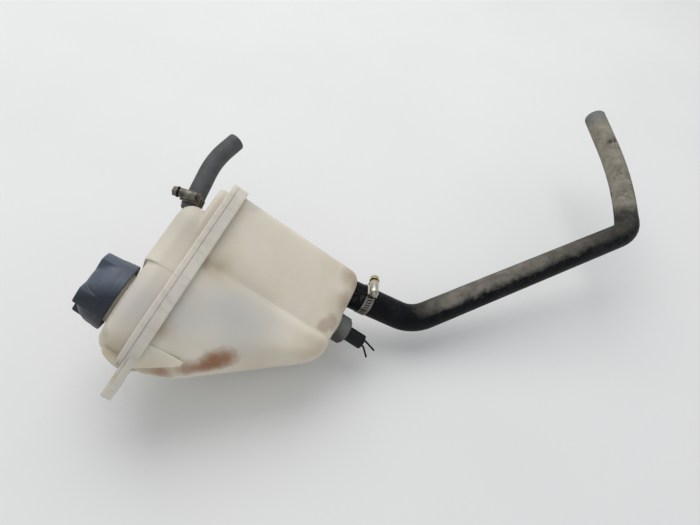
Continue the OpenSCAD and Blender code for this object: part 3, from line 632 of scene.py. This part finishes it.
ROOT_W = 33.5
SIDE_ROOT = Vector((-math.sqrt(BODY_HALF_W ** 2 - ROOT_W ** 2), -ROOT_W))
SIDE_GAP = (SIDE_ROOT - Vector(HOLE)).length
SIDE_ANGLE = math.atan2(ROOT_W, HOLE[0] - SIDE_ROOT.x) + math.asin(TONGUE_R / SIDE_GAP)
SIDE_DIR = Vector((math.cos(SIDE_ANGLE), math.sin(SIDE_ANGLE)))
SIDE_LEN = math.sqrt(SIDE_GAP ** 2 - TONGUE_R ** 2)


def tongue_plan(grow, root_x=None):
    out = Vector((SIDE_DIR.y, -SIDE_DIR.x)) * -grow
    a = SIDE_ROOT + out
    b = SIDE_ROOT + SIDE_DIR * SIDE_LEN + out
    edge = math.degrees(math.atan2(b.y, b.x - HOLE[0]))
    far = arc(HOLE[0], 0, TONGUE_R + grow, edge, -360 - edge, 40)
    points = [(a.x, a.y), *far, (a.x, -a.y)]
    if root_x is not None:
        points = [(root_x, a.y), *points, (root_x, -a.y)]
    return points


def spread(a, b, n):
    return [a + (b - a) * (1 - math.cos(math.pi * i / n)) / 2 for i in range(n + 1)]


# Lower shell
UPRIGHT_TO, BREAK_AT = 18.0, 41.0
FIRST_SLOPE, MAIN_SLOPE = math.radians(18), math.radians(35.6)
DEEP_ROUND = 13.0
TAPER = 4.0
CREASE_STEP = 1.3
TIP_HALF_W = 0.05
# How square the two ends of each chamber's oval are, and how sharply the chambers run together
MAIN_ENDS, OUT_ENDS, TOGETHER = (2.4, 5), (3.5, 9), 8


def slope_at(d):
    """X of the tongue side's wall at a depth: upright, then a gentle and a steep slope."""
    upper = math.tan(FIRST_SLOPE) * max(0.0, min(d, BREAK_AT) - UPRIGHT_TO)
    return -BODY_HALF_W + upper + math.tan(MAIN_SLOPE) * max(0.0, d - BREAK_AT)


def round_in(d):
    """How far the wall has drawn in at a depth, round the deep end's edge."""
    e = max(0.0, d - (LOWER_DEPTH - DEEP_ROUND))
    return DEEP_ROUND - math.sqrt(max(0.0, DEEP_ROUND * DEEP_ROUND - e * e))


def half_oval(x, x0, x1, h, n0, n1):
    """Half width of an oval from x0 to x1, squarer at an end the greater its exponent."""
    m = (x0 + x1) / 2
    u = abs(x - m) / ((x1 - x0) / 2)
    n = n0 if x < m else n1
    return 0.0 if u >= 1 else h * (1 - u ** n) ** (1 / n)


def half_width(x, d):
    """Half width of the two chambers, run together over the crease."""
    e = round_in(d)
    x0 = slope_at(d) + SLOPE_ROUND * e
    share = TAPER * d / LOWER_DEPTH
    main = half_oval(x, x0, max(x0 + 1, CREASE_X + CHAMBER_OVERLAP), BODY_HALF_W - share - e, *MAIN_ENDS)
    out_from = max(CREASE_X - 2 * CHAMBER_OVERLAP, x0)
    out = half_oval(x, out_from, BODY_END_X - e, BODY_HALF_W - CREASE_STEP - share - e, *OUT_ENDS)
    return max(TIP_HALF_W, (main ** TOGETHER + out ** TOGETHER) ** (1 / TOGETHER))


def lower_ring(d):
    """The shell's outline at a depth."""
    e = round_in(d)
    x0, x1 = slope_at(d) + SLOPE_ROUND * e, BODY_END_X - e
    xm = max(x0 + 1, CREASE_X + CHAMBER_OVERLAP * 0.5)
    xs = spread(x0, xm, 46) + spread(xm, x1, 36)[1:]
    halves = [TIP_HALF_W, *[half_width(x, d) for x in xs[1:-1]], TIP_HALF_W]
    near = [(x, -half, -d) for x, half in zip(xs, halves)]
    far = [(x, -y, z) for x, y, z in reversed(near)]
    return near + far


PLATE_BEVEL = 0.35
GUSSET_T, GUSSET_IN = 2.0, 0.3
ROOT_LAP = 2
SPIGOT_R, SPIGOT_BORE_R, SPIGOT_LEN = 9.95, 7.4, 36
SENSOR_BOSS_R, SENSOR_BOSS_H = 12.5, 4.5


def gussets():
    """The two upright webs between the tongue's edges and the sloping wall."""
    web = frame_of((SIDE_ROOT.x, SIDE_ROOT.y, 0), (SIDE_DIR.x, SIDE_DIR.y, 0), (SIDE_DIR.y, -SIDE_DIR.x, 0))
    side = [(-4, -2.8), (SIDE_LEN - 3, -2.8), (SIDE_LEN - 3, -8.2), (20, -8.2), (0, -38), (-4, -38)]
    near = moved(prism([side], -GUSSET_IN - GUSSET_T, -GUSSET_IN), web)
    far = [(x, -y, z) for x, y, z in near[0]], near[1]
    piece("near_gusset", near, "tank", "natural_plastic", bevel=PLATE_BEVEL)
    piece("far_gusset", far, "tank", "natural_plastic", bevel=PLATE_BEVEL)


def lower_shell():
    gussets()
    straight = LOWER_DEPTH - DEEP_ROUND
    depths = [straight * i / 42 for i in range(43)]
    depths += [straight + DEEP_ROUND * math.sin(math.radians(a)) for a in range(6, 90, 6)]
    depths.append(LOWER_DEPTH)
    boss = circle(*HOLE, BOSS_R, 40)
    hole = circle(*HOLE, HOLE_R, 40)
    outlet = Matrix.Translation(OUTLET_ROOT) @ Matrix.Rotation(-OUTLET_LEAN, 4, "Y")
    sensor = Matrix.Translation(SENSOR_ROOT)
    solids = [
        loft([lower_ring(d) for d in depths]),
        prism([seam_plan(FLANGE_OUT)], -FLANGE_T, SEAM_LAP),
        prism([seam_plan(FLANGE_OUT), seam_plan(FLANGE_OUT - RIM_T)], -RIM_DOWN, SEAM_LAP),
        prism([tongue_plan(0), hole], -FLANGE_T, SEAM_LAP),
        prism([tongue_plan(0, -20.0), tongue_plan(-RIM_T)], -RIM_DOWN + 0.4, SEAM_LAP),
        prism([boss, hole], -RIM_DOWN, SEAM_LAP),
        moved(prism([circle(0, 0, SPIGOT_R), circle(0, 0, SPIGOT_BORE_R)], -SPIGOT_LEN, ROOT_LAP), outlet),
        moved(prism([circle(0, 0, SENSOR_BOSS_R)], -SENSOR_BOSS_H, ROOT_LAP), sensor),
    ]
    return moulded("lower_moulding", solids, "tank", "natural_plastic", ["lower_shell"], 0.3)


# Upper shell
def block_plan(x0, x1, w, c, inset, n=14):
    """Plan of a block to x1 with corners of radius c, drawn in by the inset."""
    r = max(c - inset, 0.4)
    x, y = x1 - inset - r, w - inset - r
    return [(x0, -w + inset), *arc(x, -y, r, -90, 0, n), *arc(x, y, r, 0, 90, n), (x0, w - inset)]


def cap_plan(x1, w, inset, n=40):
    """Plan of the cap side: a half round about the filler axis, run on to x1."""
    return [(x1, -(w - inset)), (x1, w - inset), *arc(0, 0, w - inset, 90, 270, n)]


def soft_top(plan, h, r, steps=12):
    """A block on a plan, with its top edge rounded by drawing the plan in."""
    rings = [[(x, y, 0.0) for x, y in plan(0.0)]]
    for i in range(steps + 1):
        a = math.radians(90 * i / steps)
        inset = r * (1 - math.cos(a))
        rings.append([(x, y, h - r + r * math.sin(a)) for x, y in plan(inset)])
    return loft(rings)


VENT = Matrix.Translation(VENT_ROOT) @ Matrix.Rotation(math.radians(90 - VENT_RISE), 4, "Y")
VENT_SPIGOT_R, VENT_BORE_R, VENT_SPIGOT_LEN, VENT_ROOT_LAP = 4.95, 3.4, 24, 13
NECK_FROM = 22
STEP_X = 31.0
CAP_SIDE_H, CAP_SIDE_IN = 27.5, 0.5
RAISED_H, RAISED_END_X, RAISED_IN, RAISED_CORNER = 30.5, 95.0, 0.3, 20.0
LEDGE_H, LEDGE_FROM_X, LEDGE_END_X, LEDGE_CORNER = 13.0, 70.0, 120.0, 15.0
TOP_SOFT, LEDGE_SOFT = 13.0, 4.0
RIB_T, RIB_Y = 2.0, 14.0


def collar_rib(name, y):
    """An upright plate between the tongue's rim and the cap side's wall."""
    edge = [(-38.2, 2.8), (-47.9, 2.8), (-47.9, 4.4), (-46, 11.9), (-43.6, 18.4), (-38.2, 18.4)]
    m = Matrix.Translation((0, y + RIB_T / 2, 0)) @ Matrix.Rotation(math.radians(90), 4, "X")
    piece(name, moved(prism([edge], 0, RIB_T), m), "tank", "natural_plastic", bevel=PLATE_BEVEL)


def upper_shell():
    collar_rib("near_collar_rib", -RIB_Y)
    collar_rib("far_collar_rib", RIB_Y)
    raised_w = BODY_HALF_W - RAISED_IN
    vent_rings = [circle(0, 0, VENT_SPIGOT_R), circle(0, 0, VENT_BORE_R)]
    solids = [
        soft_top(lambda e: cap_plan(STEP_X + 4, BODY_HALF_W - CAP_SIDE_IN, e), CAP_SIDE_H, TOP_SOFT),
        soft_top(lambda e: block_plan(STEP_X, RAISED_END_X, raised_w, RAISED_CORNER, e), RAISED_H, TOP_SOFT),
        soft_top(lambda e: block_plan(LEDGE_FROM_X, LEDGE_END_X, BODY_HALF_W, LEDGE_CORNER, e),
                 LEDGE_H, LEDGE_SOFT),
        prism([seam_plan(FLANGE_OUT)], -SEAM_LAP, FLANGE_T),
        prism([seam_plan(FLANGE_OUT), seam_plan(FLANGE_OUT - RIM_T)], -SEAM_LAP, RIM_UP),
        prism([circle(0, 0, NECK_R), circle(0, 0, NECK_BORE_R)], NECK_FROM, NECK_TOP),
        moved(prism(vent_rings, -VENT_ROOT_LAP, VENT_SPIGOT_LEN), VENT),
    ]
    return moulded("upper_moulding", solids, "tank", "natural_plastic", ["upper_shell"], 0.35)


# Cap
CAP_BASE, CAP_TOP, CAP_R, CAP_DRAFT = 31.0, 57.5, 30.0, 2.0
CAP_EDGE = 1.5
CAP_ROOF_Z = 50.3
RECESS_R, RECESS_DEEP = 12.6, 1.5
SNAP_Z, SNAP_R, GROOVE_R, CAP_MOUTH_R = 44.5, 22.4, 23.4, 26.6
LOBE_W, LOBE_TURN = 14.0, 50.0
LOBE_FLARE, LOBE_H = 0.5, 20.0
LOBE_SOFT, DOME_SOFT = 1.6, 1.0
CAP_AROUND = 480
DOME_UP, DOME_R = 6.0, 23.0
DOME_Z = CAP_BASE + DOME_UP
DOME_X = CAP_R - CAP_DRAFT * DOME_UP / (CAP_TOP - CAP_BASE) - DOME_R


def soft_min(a, b, k):
    h = max(k - abs(a - b), 0.0) / k
    return min(a, b) - h * h * k * 0.25


def cap_radius(angle, z):
    """The skirt's cone at the four lobes, and the dome between them."""
    cone = CAP_R - CAP_DRAFT * (z - CAP_BASE) / (CAP_TOP - CAP_BASE)
    if z <= DOME_Z:
        return cone
    dome = DOME_X + math.sqrt(DOME_R ** 2 - (z - DOME_Z) ** 2)
    off = (math.degrees(angle) - LOBE_TURN + 45) % 90 - 45
    across = max(abs(math.sin(math.radians(off))), 0.02)
    lobe = (LOBE_W / 2 + LOBE_FLARE * (CAP_TOP - z) / LOBE_H) / across
    raised = -soft_min(-lobe, -dome, LOBE_SOFT)
    return soft_min(cone, raised, DOME_SOFT)


def cap_outside():
    """Inset and height of the grip's rings, from the mouth up to the rounded top edge."""
    upright = CAP_TOP - CAP_BASE - CAP_EDGE - 0.8
    heights = [CAP_BASE + 0.8 + upright * i / 40 for i in range(41)]
    outside = [(-0.7, CAP_BASE), (-0.15, CAP_BASE + 0.3), *[(0.0, z) for z in heights]]
    for a in (75, 60, 45, 30, 15):
        across, up = math.sin(math.radians(a)), math.cos(math.radians(a))
        outside.append((-CAP_EDGE * (1 - across), CAP_TOP - CAP_EDGE + CAP_EDGE * up))
    return outside


def cap_inside():
    """Radius and height of the round rings: the top's recess, the roof, the snap and the mouth."""
    edge = [(RECESS_R, 0.0), (RECESS_R - 0.5, -0.2), (RECESS_R - 0.8, -0.8), (RECESS_R - 1.3, -1.4)]
    recess = edge + [(r, -RECESS_DEEP) for r in (RECESS_R - 1.8, 8, 5, 2, 0.5)]
    under = [(0.5, CAP_ROOF_Z), (GROOVE_R, CAP_ROOF_Z), (GROOVE_R, SNAP_Z + 1.1), (SNAP_R, SNAP_Z + 1.1),
             (SNAP_R, SNAP_Z), (GROOVE_R + 0.1, SNAP_Z - 0.2), (CAP_MOUTH_R, CAP_BASE)]
    return [(r, CAP_TOP + down) for r, down in recess] + under


def filler_cap():
    n = CAP_AROUND
    rings = []
    angles = [2 * math.pi * k / n for k in range(n)]
    for inset, z in cap_outside():
        rings.append([(cap_radius(a, min(max(z, CAP_BASE), CAP_TOP)) + inset, z) for a in angles])
    rim = rings[-1]
    for share in (0.0, 0.15, 0.5, 0.85):
        inward = (RECESS_R + 0.2) * share
        rings.append([((r - 1.0) * (1 - share) + inward, CAP_TOP - 0.02 * share) for r, z in rim])
    for r, z in cap_inside():
        rings.append([(r, z)] * n)
    verts = [(r * math.cos(a), r * math.sin(a), z) for ring in rings for a, (r, z) in zip(angles, ring)]
    rows = len(rings)
    faces = []
    for j in range(rows):
        up = (j + 1) % rows
        faces += [(j * n + k, j * n + (k + 1) % n, up * n + (k + 1) % n, up * n + k) for k in range(n)]
    return piece("cap_moulding", (verts, faces), "cap", "cap_plastic", ["filler_cap"], 50.0)


# Hoses
def unit(v):
    return Vector(v).normalized()


def rounded_route(points, bends, radii, step=4.0):
    """Straight runs with round bends, as evenly spaced points with the hose's radius at each."""
    pts = [Vector(p) for p in points]
    out = [(pts[0], radii[0])]
    for i in range(1, len(pts) - 1):
        u, v = unit(pts[i] - pts[i - 1]), unit(pts[i + 1] - pts[i])
        half = u.angle(v) / 2
        reach = bends[i - 1] * math.tan(half)
        start, end = pts[i] - u * reach, pts[i] + v * reach
        centre = start + (v - u * u.dot(v)).normalized() * bends[i - 1]
        n = max(3, int(bends[i - 1] * 2 * half / step))
        axis = u.cross(v).normalized()
        for k in range(n):
            out.append((centre + Matrix.Rotation(2 * half * k / n, 3, axis) @ (start - centre), radii[i]))
        out.append((end, radii[i]))
    out.append((pts[-1], radii[-1]))
    fine = [out[0]]
    for (a, ra), (b, rb) in zip(out, out[1:]):
        n = max(1, int((b - a).length / step))
        fine += [(a + (b - a) * (k / n), ra + (rb - ra) * k / n) for k in range(1, n + 1)]
    return fine


def pipe(route, wall, sides=56):
    """A hollow pipe along a route, with its ends closed between bore and outside."""
    n = len(route)
    points = [p for p, r in route]
    ways = [unit(points[min(i + 1, n - 1)] - points[max(i - 1, 0)]) for i in range(n)]
    across = ways[0].orthogonal().normalized()
    frames = []
    for w in ways:
        across = (across - w * across.dot(w)).normalized()
        frames.append((across.copy(), w.cross(across)))

    def ring(i, inset, back=0.0):
        a, b = frames[i]
        r = route[i][1] - inset
        centre = points[i] + ways[i] * back
        turns = [2 * math.pi * k / sides for k in range(sides)]
        return [tuple(centre + a * (r * math.cos(t)) + b * (r * math.sin(t))) for t in turns]

    rings = [ring(0, 0.5), ring(0, 0.0, 0.5), *[ring(i, 0.0) for i in range(1, n - 1)]]
    rings += [ring(n - 1, 0.0, -0.5), ring(n - 1, 0.15, -0.12), ring(n - 1, 0.5)]
    rings += [ring(i, wall) for i in range(n - 1, -1, -1)]
    verts, faces = loft(rings, False)
    last = (len(rings) - 1) * sides
    faces += [(last + i, last + (i + 1) % sides, (i + 1) % sides, i) for i in range(sides)]
    return verts, faces


HOSE_R, HOSE_WALL = 14.0, 4.0
HOSE_RADII = (14.0, 14.0, 12.875, 12.5, 12.5)
HOSE_BENDS = (42.0, 26.0, 380.0)
HOSE_POINTS = [OUTLET_ROOT + OUTLET_DIR * 3, OUTLET_ROOT + OUTLET_DIR * 76,
               (325, -83, -374), (404, -64, -363), (495, -34, -321)]
VENT_HOSE_R, VENT_HOSE_WALL, VENT_BEND = 8.5, 3.5, 90.0
VENT_POINTS = [VENT_ROOT + VENT_DIR * 1.5, VENT_ROOT + VENT_DIR * 57, (181, -4, 27.5)]


def hoses():
    route = rounded_route(HOSE_POINTS, HOSE_BENDS, HOSE_RADII)
    hose = piece("outlet_hose_rubber", pipe(route, HOSE_WALL), "tank", "hose_rubber", ["outlet_hose"])
    route = rounded_route(VENT_POINTS, (VENT_BEND,), [VENT_HOSE_R] * 3, 2.0)
    piece("vent_hose_rubber", pipe(route, VENT_HOSE_WALL), "tank", "vent_rubber", ["vent_hose"])


# What repeats: node trees for threads and for the slots of the clamp bands
def tree_of(name, inputs):
    tree = bpy.data.node_groups.new(name, "GeometryNodeTree")
    tree.is_modifier = True
    tree.interface.new_socket("Geometry", in_out="INPUT", socket_type="NodeSocketGeometry")
    for label, kind in inputs:
        tree.interface.new_socket(label, in_out="INPUT", socket_type=kind)
    tree.interface.new_socket("Geometry", in_out="OUTPUT", socket_type="NodeSocketGeometry")
    return tree, tree.nodes.new("NodeGroupInput"), tree.nodes.new("NodeGroupOutput")


def thread_tree():
    """A ridge that winds round local Z."""
    names = [("Radius", "NodeSocketFloat"), ("Ridge", "NodeSocketFloat"), ("Turns", "NodeSocketFloat"),
             ("Rise", "NodeSocketFloat"), ("Material", "NodeSocketMaterial")]
    tree, given, out = tree_of("thread_ridge", names)
    spiral = tree.nodes.new("GeometryNodeCurveSpiral")
    spiral.inputs["Resolution"].default_value = 48
    ring = tree.nodes.new("GeometryNodeCurvePrimitiveCircle")
    ring.inputs["Resolution"].default_value = 8
    sweep = tree.nodes.new("GeometryNodeCurveToMesh")
    sweep.inputs["Fill Caps"].default_value = True
    real = tree.nodes.new("GeometryNodeRealizeInstances")
    paint = tree.nodes.new("GeometryNodeSetMaterial")
    wire = tree.links.new
    wire(given.outputs["Turns"], spiral.inputs["Rotations"])
    wire(given.outputs["Radius"], spiral.inputs["Start Radius"])
    wire(given.outputs["Radius"], spiral.inputs["End Radius"])
    wire(given.outputs["Rise"], spiral.inputs["Height"])
    wire(given.outputs["Ridge"], ring.inputs["Radius"])
    wire(spiral.outputs[0], sweep.inputs["Curve"])
    wire(ring.outputs[0], sweep.inputs["Profile Curve"])
    wire(sweep.outputs[0], real.inputs[0])
    wire(real.outputs[0], paint.inputs["Geometry"])
    wire(given.outputs["Material"], paint.inputs["Material"])
    wire(paint.outputs[0], out.inputs[0])
    return tree


def slot_tree():
    """Slots cut at even steps round a band whose axis is local Z."""
    names = [("Count", "NodeSocketInt"), ("Radius", "NodeSocketFloat"), ("Slot", "NodeSocketVector"),
             ("Lean", "NodeSocketFloat"), ("Material", "NodeSocketMaterial")]
    tree, given, out = tree_of("band_slots", names)
    ring = tree.nodes.new("GeometryNodeMeshCircle")
    box = tree.nodes.new("GeometryNodeMeshCube")
    spin = tree.nodes.new("GeometryNodeTransform")
    lean = tree.nodes.new("ShaderNodeCombineXYZ")
    place = tree.nodes.new("GeometryNodeInstanceOnPoints")
    position = tree.nodes.new("GeometryNodeInputPosition")
    align = tree.nodes.new("FunctionNodeAlignEulerToVector")
    align.axis = "X"
    align.pivot_axis = "Z"
    real = tree.nodes.new("GeometryNodeRealizeInstances")
    cut = tree.nodes.new("GeometryNodeMeshBoolean")
    cut.operation = "DIFFERENCE"
    paint = tree.nodes.new("GeometryNodeSetMaterial")
    wire = tree.links.new
    wire(given.outputs["Count"], ring.inputs["Vertices"])
    wire(given.outputs["Radius"], ring.inputs["Radius"])
    wire(given.outputs["Slot"], box.inputs["Size"])
    wire(given.outputs["Lean"], lean.inputs["X"])
    wire(box.outputs[0], spin.inputs["Geometry"])
    wire(lean.outputs[0], spin.inputs["Rotation"])
    wire(ring.outputs[0], place.inputs["Points"])
    wire(spin.outputs[0], place.inputs["Instance"])
    wire(position.outputs[0], align.inputs["Vector"])
    wire(align.outputs[0], place.inputs["Rotation"])
    wire(place.outputs[0], real.inputs[0])
    wire(given.outputs["Geometry"], cut.inputs[0])
    wire(real.outputs[0], cut.inputs[1])
    wire(cut.outputs[0], paint.inputs["Geometry"])
    wire(given.outputs["Material"], paint.inputs["Material"])
    wire(paint.outputs[0], out.inputs[0])
    return tree


THREAD, SLOTS = thread_tree(), slot_tree()


def grown(name, solid, tree, matrix, values):
    """A node tree worked out on a local mesh in metres, then placed by a millimetre matrix."""
    mesh = bpy.data.meshes.new(name)
    mesh.from_pydata([Vector(v) * 0.001 for v in solid[0]], [], solid[1])
    obj = link(bpy.data.objects.new(name, mesh))
    m = obj.modifiers.new("nodes", "NODES")
    m.node_group = tree
    for item in tree.interface.items_tree:
        if item.item_type == "SOCKET" and item.in_out == "INPUT" and item.name in values:
            m[item.identifier] = values[item.name]
    settle(obj)
    shift = Matrix.Translation([v * 0.001 for v in TO_ORIGIN])
    local = matrix.copy()
    local.translation = matrix.translation * 0.001
    obj.data.transform(shift @ local)
    return obj


def ridge(name, matrix, radius, half_thick, turns, rise, slot):
    """A wound ridge with its sizes in millimetres."""
    sizes = {"Radius": radius * 0.001, "Ridge": half_thick * 0.001, "Turns": turns, "Rise": rise * 0.001}
    return grown(name, ([], []), THREAD, matrix, {**sizes, "Material": MATERIALS[slot]})


THREAD_FROM, THREAD_STARTS = 35.5, 2
THREAD_HALF, THREAD_TURNS, THREAD_RISE = 1.1, 1.2, 6.5


def neck_thread():
    for i in range(THREAD_STARTS):
        turned = Matrix.Rotation(math.radians(360 / THREAD_STARTS * i), 4, "Z")
        m = Matrix.Translation((0, 0, THREAD_FROM)) @ turned
        obj = ridge("neck_thread_%d" % (i + 1), m, NECK_R - 0.1,
                    THREAD_HALF, THREAD_TURNS, THREAD_RISE, "natural_plastic")
        dress(obj, "tank", "natural_plastic")


SPRING_TURNS = 5.0


def spring(node, body, radius, wire):
    """A coil spring between the ends of its solid."""
    low, high = (Vector(v) * 1000 - Vector(TO_ORIGIN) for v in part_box(node))
    m = Matrix.Translation((0, 0, low.z + wire / 2))
    obj = ridge(node + "_coil", m, radius, wire / 2, SPRING_TURNS, high.z - low.z - wire, "spring_steel")
    dress(obj, body, SLOT_OF[node], [node])
    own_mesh(obj)


def cap_springs():
    spring("pressure_spring", "cap_insert",
           radius=10.0, wire=1.6)
    spring("vacuum_spring", "pressure_valve",
           radius=2.6, wire=0.5)


# Worm-drive clamps, local Z along the hose and the screw along local X
SCREW_R, SCREW_LEN, BAND_W, BAND_T = 3.2, 18.0, 9.0, 0.8
SCREW_RIDGE, SCREW_TURNS, SCREW_LIFT = 0.7, 8.0, 0.8
SLOT_SIZE, SLOT_PITCH, SLOT_LEAN = (4.0, 1.1, 5.6), 2.5, math.radians(12)
HEAD_ACROSS, HEAD_H, WASHER_R, WASHER_H = 8.0, 4.4, 4.9, 1.0
HOUSING_WALL, FOOT_HALF = 1.05, 5.1
HALF_HOUSING = SCREW_LEN / 2 - 1
OUTLET_ACROSS = (math.cos(OUTLET_LEAN), 0, math.sin(OUTLET_LEAN))
OUTLET_CLAMP = (frame_of(OUTLET_ROOT + OUTLET_DIR * 20, OUTLET_ACROSS, -OUTLET_DIR)
                @ Matrix.Rotation(math.radians(30), 4, "Z"))
VENT_U = unit(VENT_POINTS[1] - VENT_POINTS[0])
VENT_CLAMP = (frame_of(VENT_POINTS[0] + VENT_U * 8, (-VENT_U.z, 0, VENT_U.x), -VENT_U)
              @ Matrix.Rotation(math.radians(25), 4, "Z"))


def clamp_band(which, matrix, r, slot):
    """A band round the hose, with the slots that the screw's thread bites in."""
    band = prism([circle(0, 0, r + BAND_T, 160), circle(0, 0, r + 0.02, 160)], -BAND_W / 2, BAND_W / 2)
    count = int(2 * math.pi * r / SLOT_PITCH)
    obj = grown(which + "_band_strip", band, SLOTS, matrix,
                {"Count": count, "Radius": (r + BAND_T / 2) * 0.001, "Lean": SLOT_LEAN,
                 "Slot": [v * 0.001 for v in SLOT_SIZE], "Material": MATERIALS[slot]})
    dress(obj, "tank", slot, [which + "_clamp_band"], 30.0)


def clamp_housing(which, matrix, r, slot):
    """The saddle over the screw, a round shell on two feet that lie on the band."""
    top = -r - BAND_T
    foot = [(top - 0.1, FOOT_HALF), (top - 1.1, FOOT_HALF), (top - 1.2, 3.9)]
    shell = arc(top - SCREW_R - SCREW_LIFT, 0, SCREW_R + HOUSING_WALL, 62, 298, 28)
    outline = foot + shell + [(y, -x) for y, x in reversed(foot)]
    solid = prism([outline], -HALF_HOUSING, HALF_HOUSING)
    turned = [(z, y, x) for y, x, z in solid[0]]
    piece(which + "_housing_shell", moved((turned, solid[1]), matrix), "tank", slot,
          [which + "_clamp_housing"], 40.0, 0.25)


def clamp_screw(which, matrix, r, slot):
    """A hexagon-headed worm screw that turns in the housing."""
    body = which + "_clamp_screw"
    corner_r = HEAD_ACROSS / math.sqrt(3)
    start = HALF_HOUSING + 2
    hexagon = [(math.cos(a) * corner_r, math.sin(a) * corner_r)
               for a in (math.radians(60 * k) for k in range(6))]
    head = prism([hexagon], start, start + HEAD_H)
    washer = prism([circle(0, 0, WASHER_R, 40)], start, start + WASHER_H)
    shank = prism([circle(0, 0, SCREW_R - SCREW_RIDGE, 40)], -start, start + 0.4)
    y = -r - BAND_T - SCREW_R - SCREW_LIFT
    local = matrix @ Matrix.Translation((0, y, 0)) @ Matrix.Rotation(math.radians(90), 4, "Y")
    piece(which + "_screw_body", moved(joined([head, washer, shank]), local), body, slot, [body], 35.0, 0.3)
    at_end = local @ Matrix.Translation((0, 0, -start + 0.4))
    thread = ridge(which + "_screw_thread", at_end, SCREW_R - 0.75, SCREW_RIDGE, SCREW_TURNS, SCREW_LEN, slot)
    dress(thread, body, slot)


def clamp(which, matrix, r, slot):
    clamp_band(which, matrix, r, slot)
    clamp_housing(which, matrix, r, slot)
    clamp_screw(which, matrix, r, slot)


lower_shell()
upper_shell()
filler_cap()
hoses()
neck_thread()
cap_springs()
clamp("outlet", OUTLET_CLAMP, HOSE_R, "zinc_steel")
clamp("vent", VENT_CLAMP, VENT_HOSE_R, "worn_steel")


# Floor and lights
FLOOR_HALF = 6.0


def floor():
    """The white surface the tank lies on, seen from its front only."""
    mesh = bpy.data.meshes.new("floor")
    middle = row(TABLE_UP * TABLE_DOWN)
    m = level_matrix(middle, TABLE_UP, RIGHT)
    square = ((-1, -1), (1, -1), (1, 1), (-1, 1))
    corners = [m @ Vector((x * FLOOR_HALF, y * FLOOR_HALF, 0)) for x, y in square]
    mesh.from_pydata(corners, [], [(0, 1, 2, 3)])
    obj = link(bpy.data.objects.new("floor", mesh))
    f = Finish("floor_paint", Specular_IOR_Level=0.2)
    f.colour(f.blend(rgb(0.78, 0.785, 0.775), rgb(0.82, 0.82, 0.81), f.ramp(f.noise(3.0, 3.0), 0.3, 0.7)))
    f.rough(0.6)
    clear = f.add("ShaderNodeBsdfTransparent")
    pick = f.add("ShaderNodeMixShader")
    side = f.add("ShaderNodeNewGeometry")
    f.wire(side.outputs["Backfacing"], pick.inputs[0])
    f.wire(f.shader.outputs[0], pick.inputs[1])
    f.wire(clear.outputs[0], pick.inputs[2])
    f.wire(pick.outputs[0], f.tree.nodes["Material Output"].inputs["Surface"])
    mesh.materials.append(f.mat)


def area_light(name, place, aim, size, power, colour):
    lamp = bpy.data.lights.new(name, "AREA")
    lamp.size = size
    lamp.energy = power
    lamp.color = colour
    obj = link(bpy.data.objects.new(name, lamp))
    obj.location = place
    obj.rotation_mode = "QUATERNION"
    obj.rotation_quaternion = (aim - place).to_track_quat("-Z", "Y")
    return obj


floor()
MIDDLE = row((90, -20, -110))
WINDOW = MIDDLE + TABLE_UP * 1.0 + UP * 1.5 - RIGHT * 0.2
area_light("window_light", WINDOW, MIDDLE, size=2.2, power=28.0, colour=(1.0, 0.99, 0.98))
world = bpy.data.worlds.new("studio")
bpy.context.scene.world = world
world.use_nodes = True
sky = world.node_tree.nodes["Background"]
sky.inputs["Color"].default_value = rgb(0.95, 0.97, 1.0)
sky.inputs["Strength"].default_value = 0.62
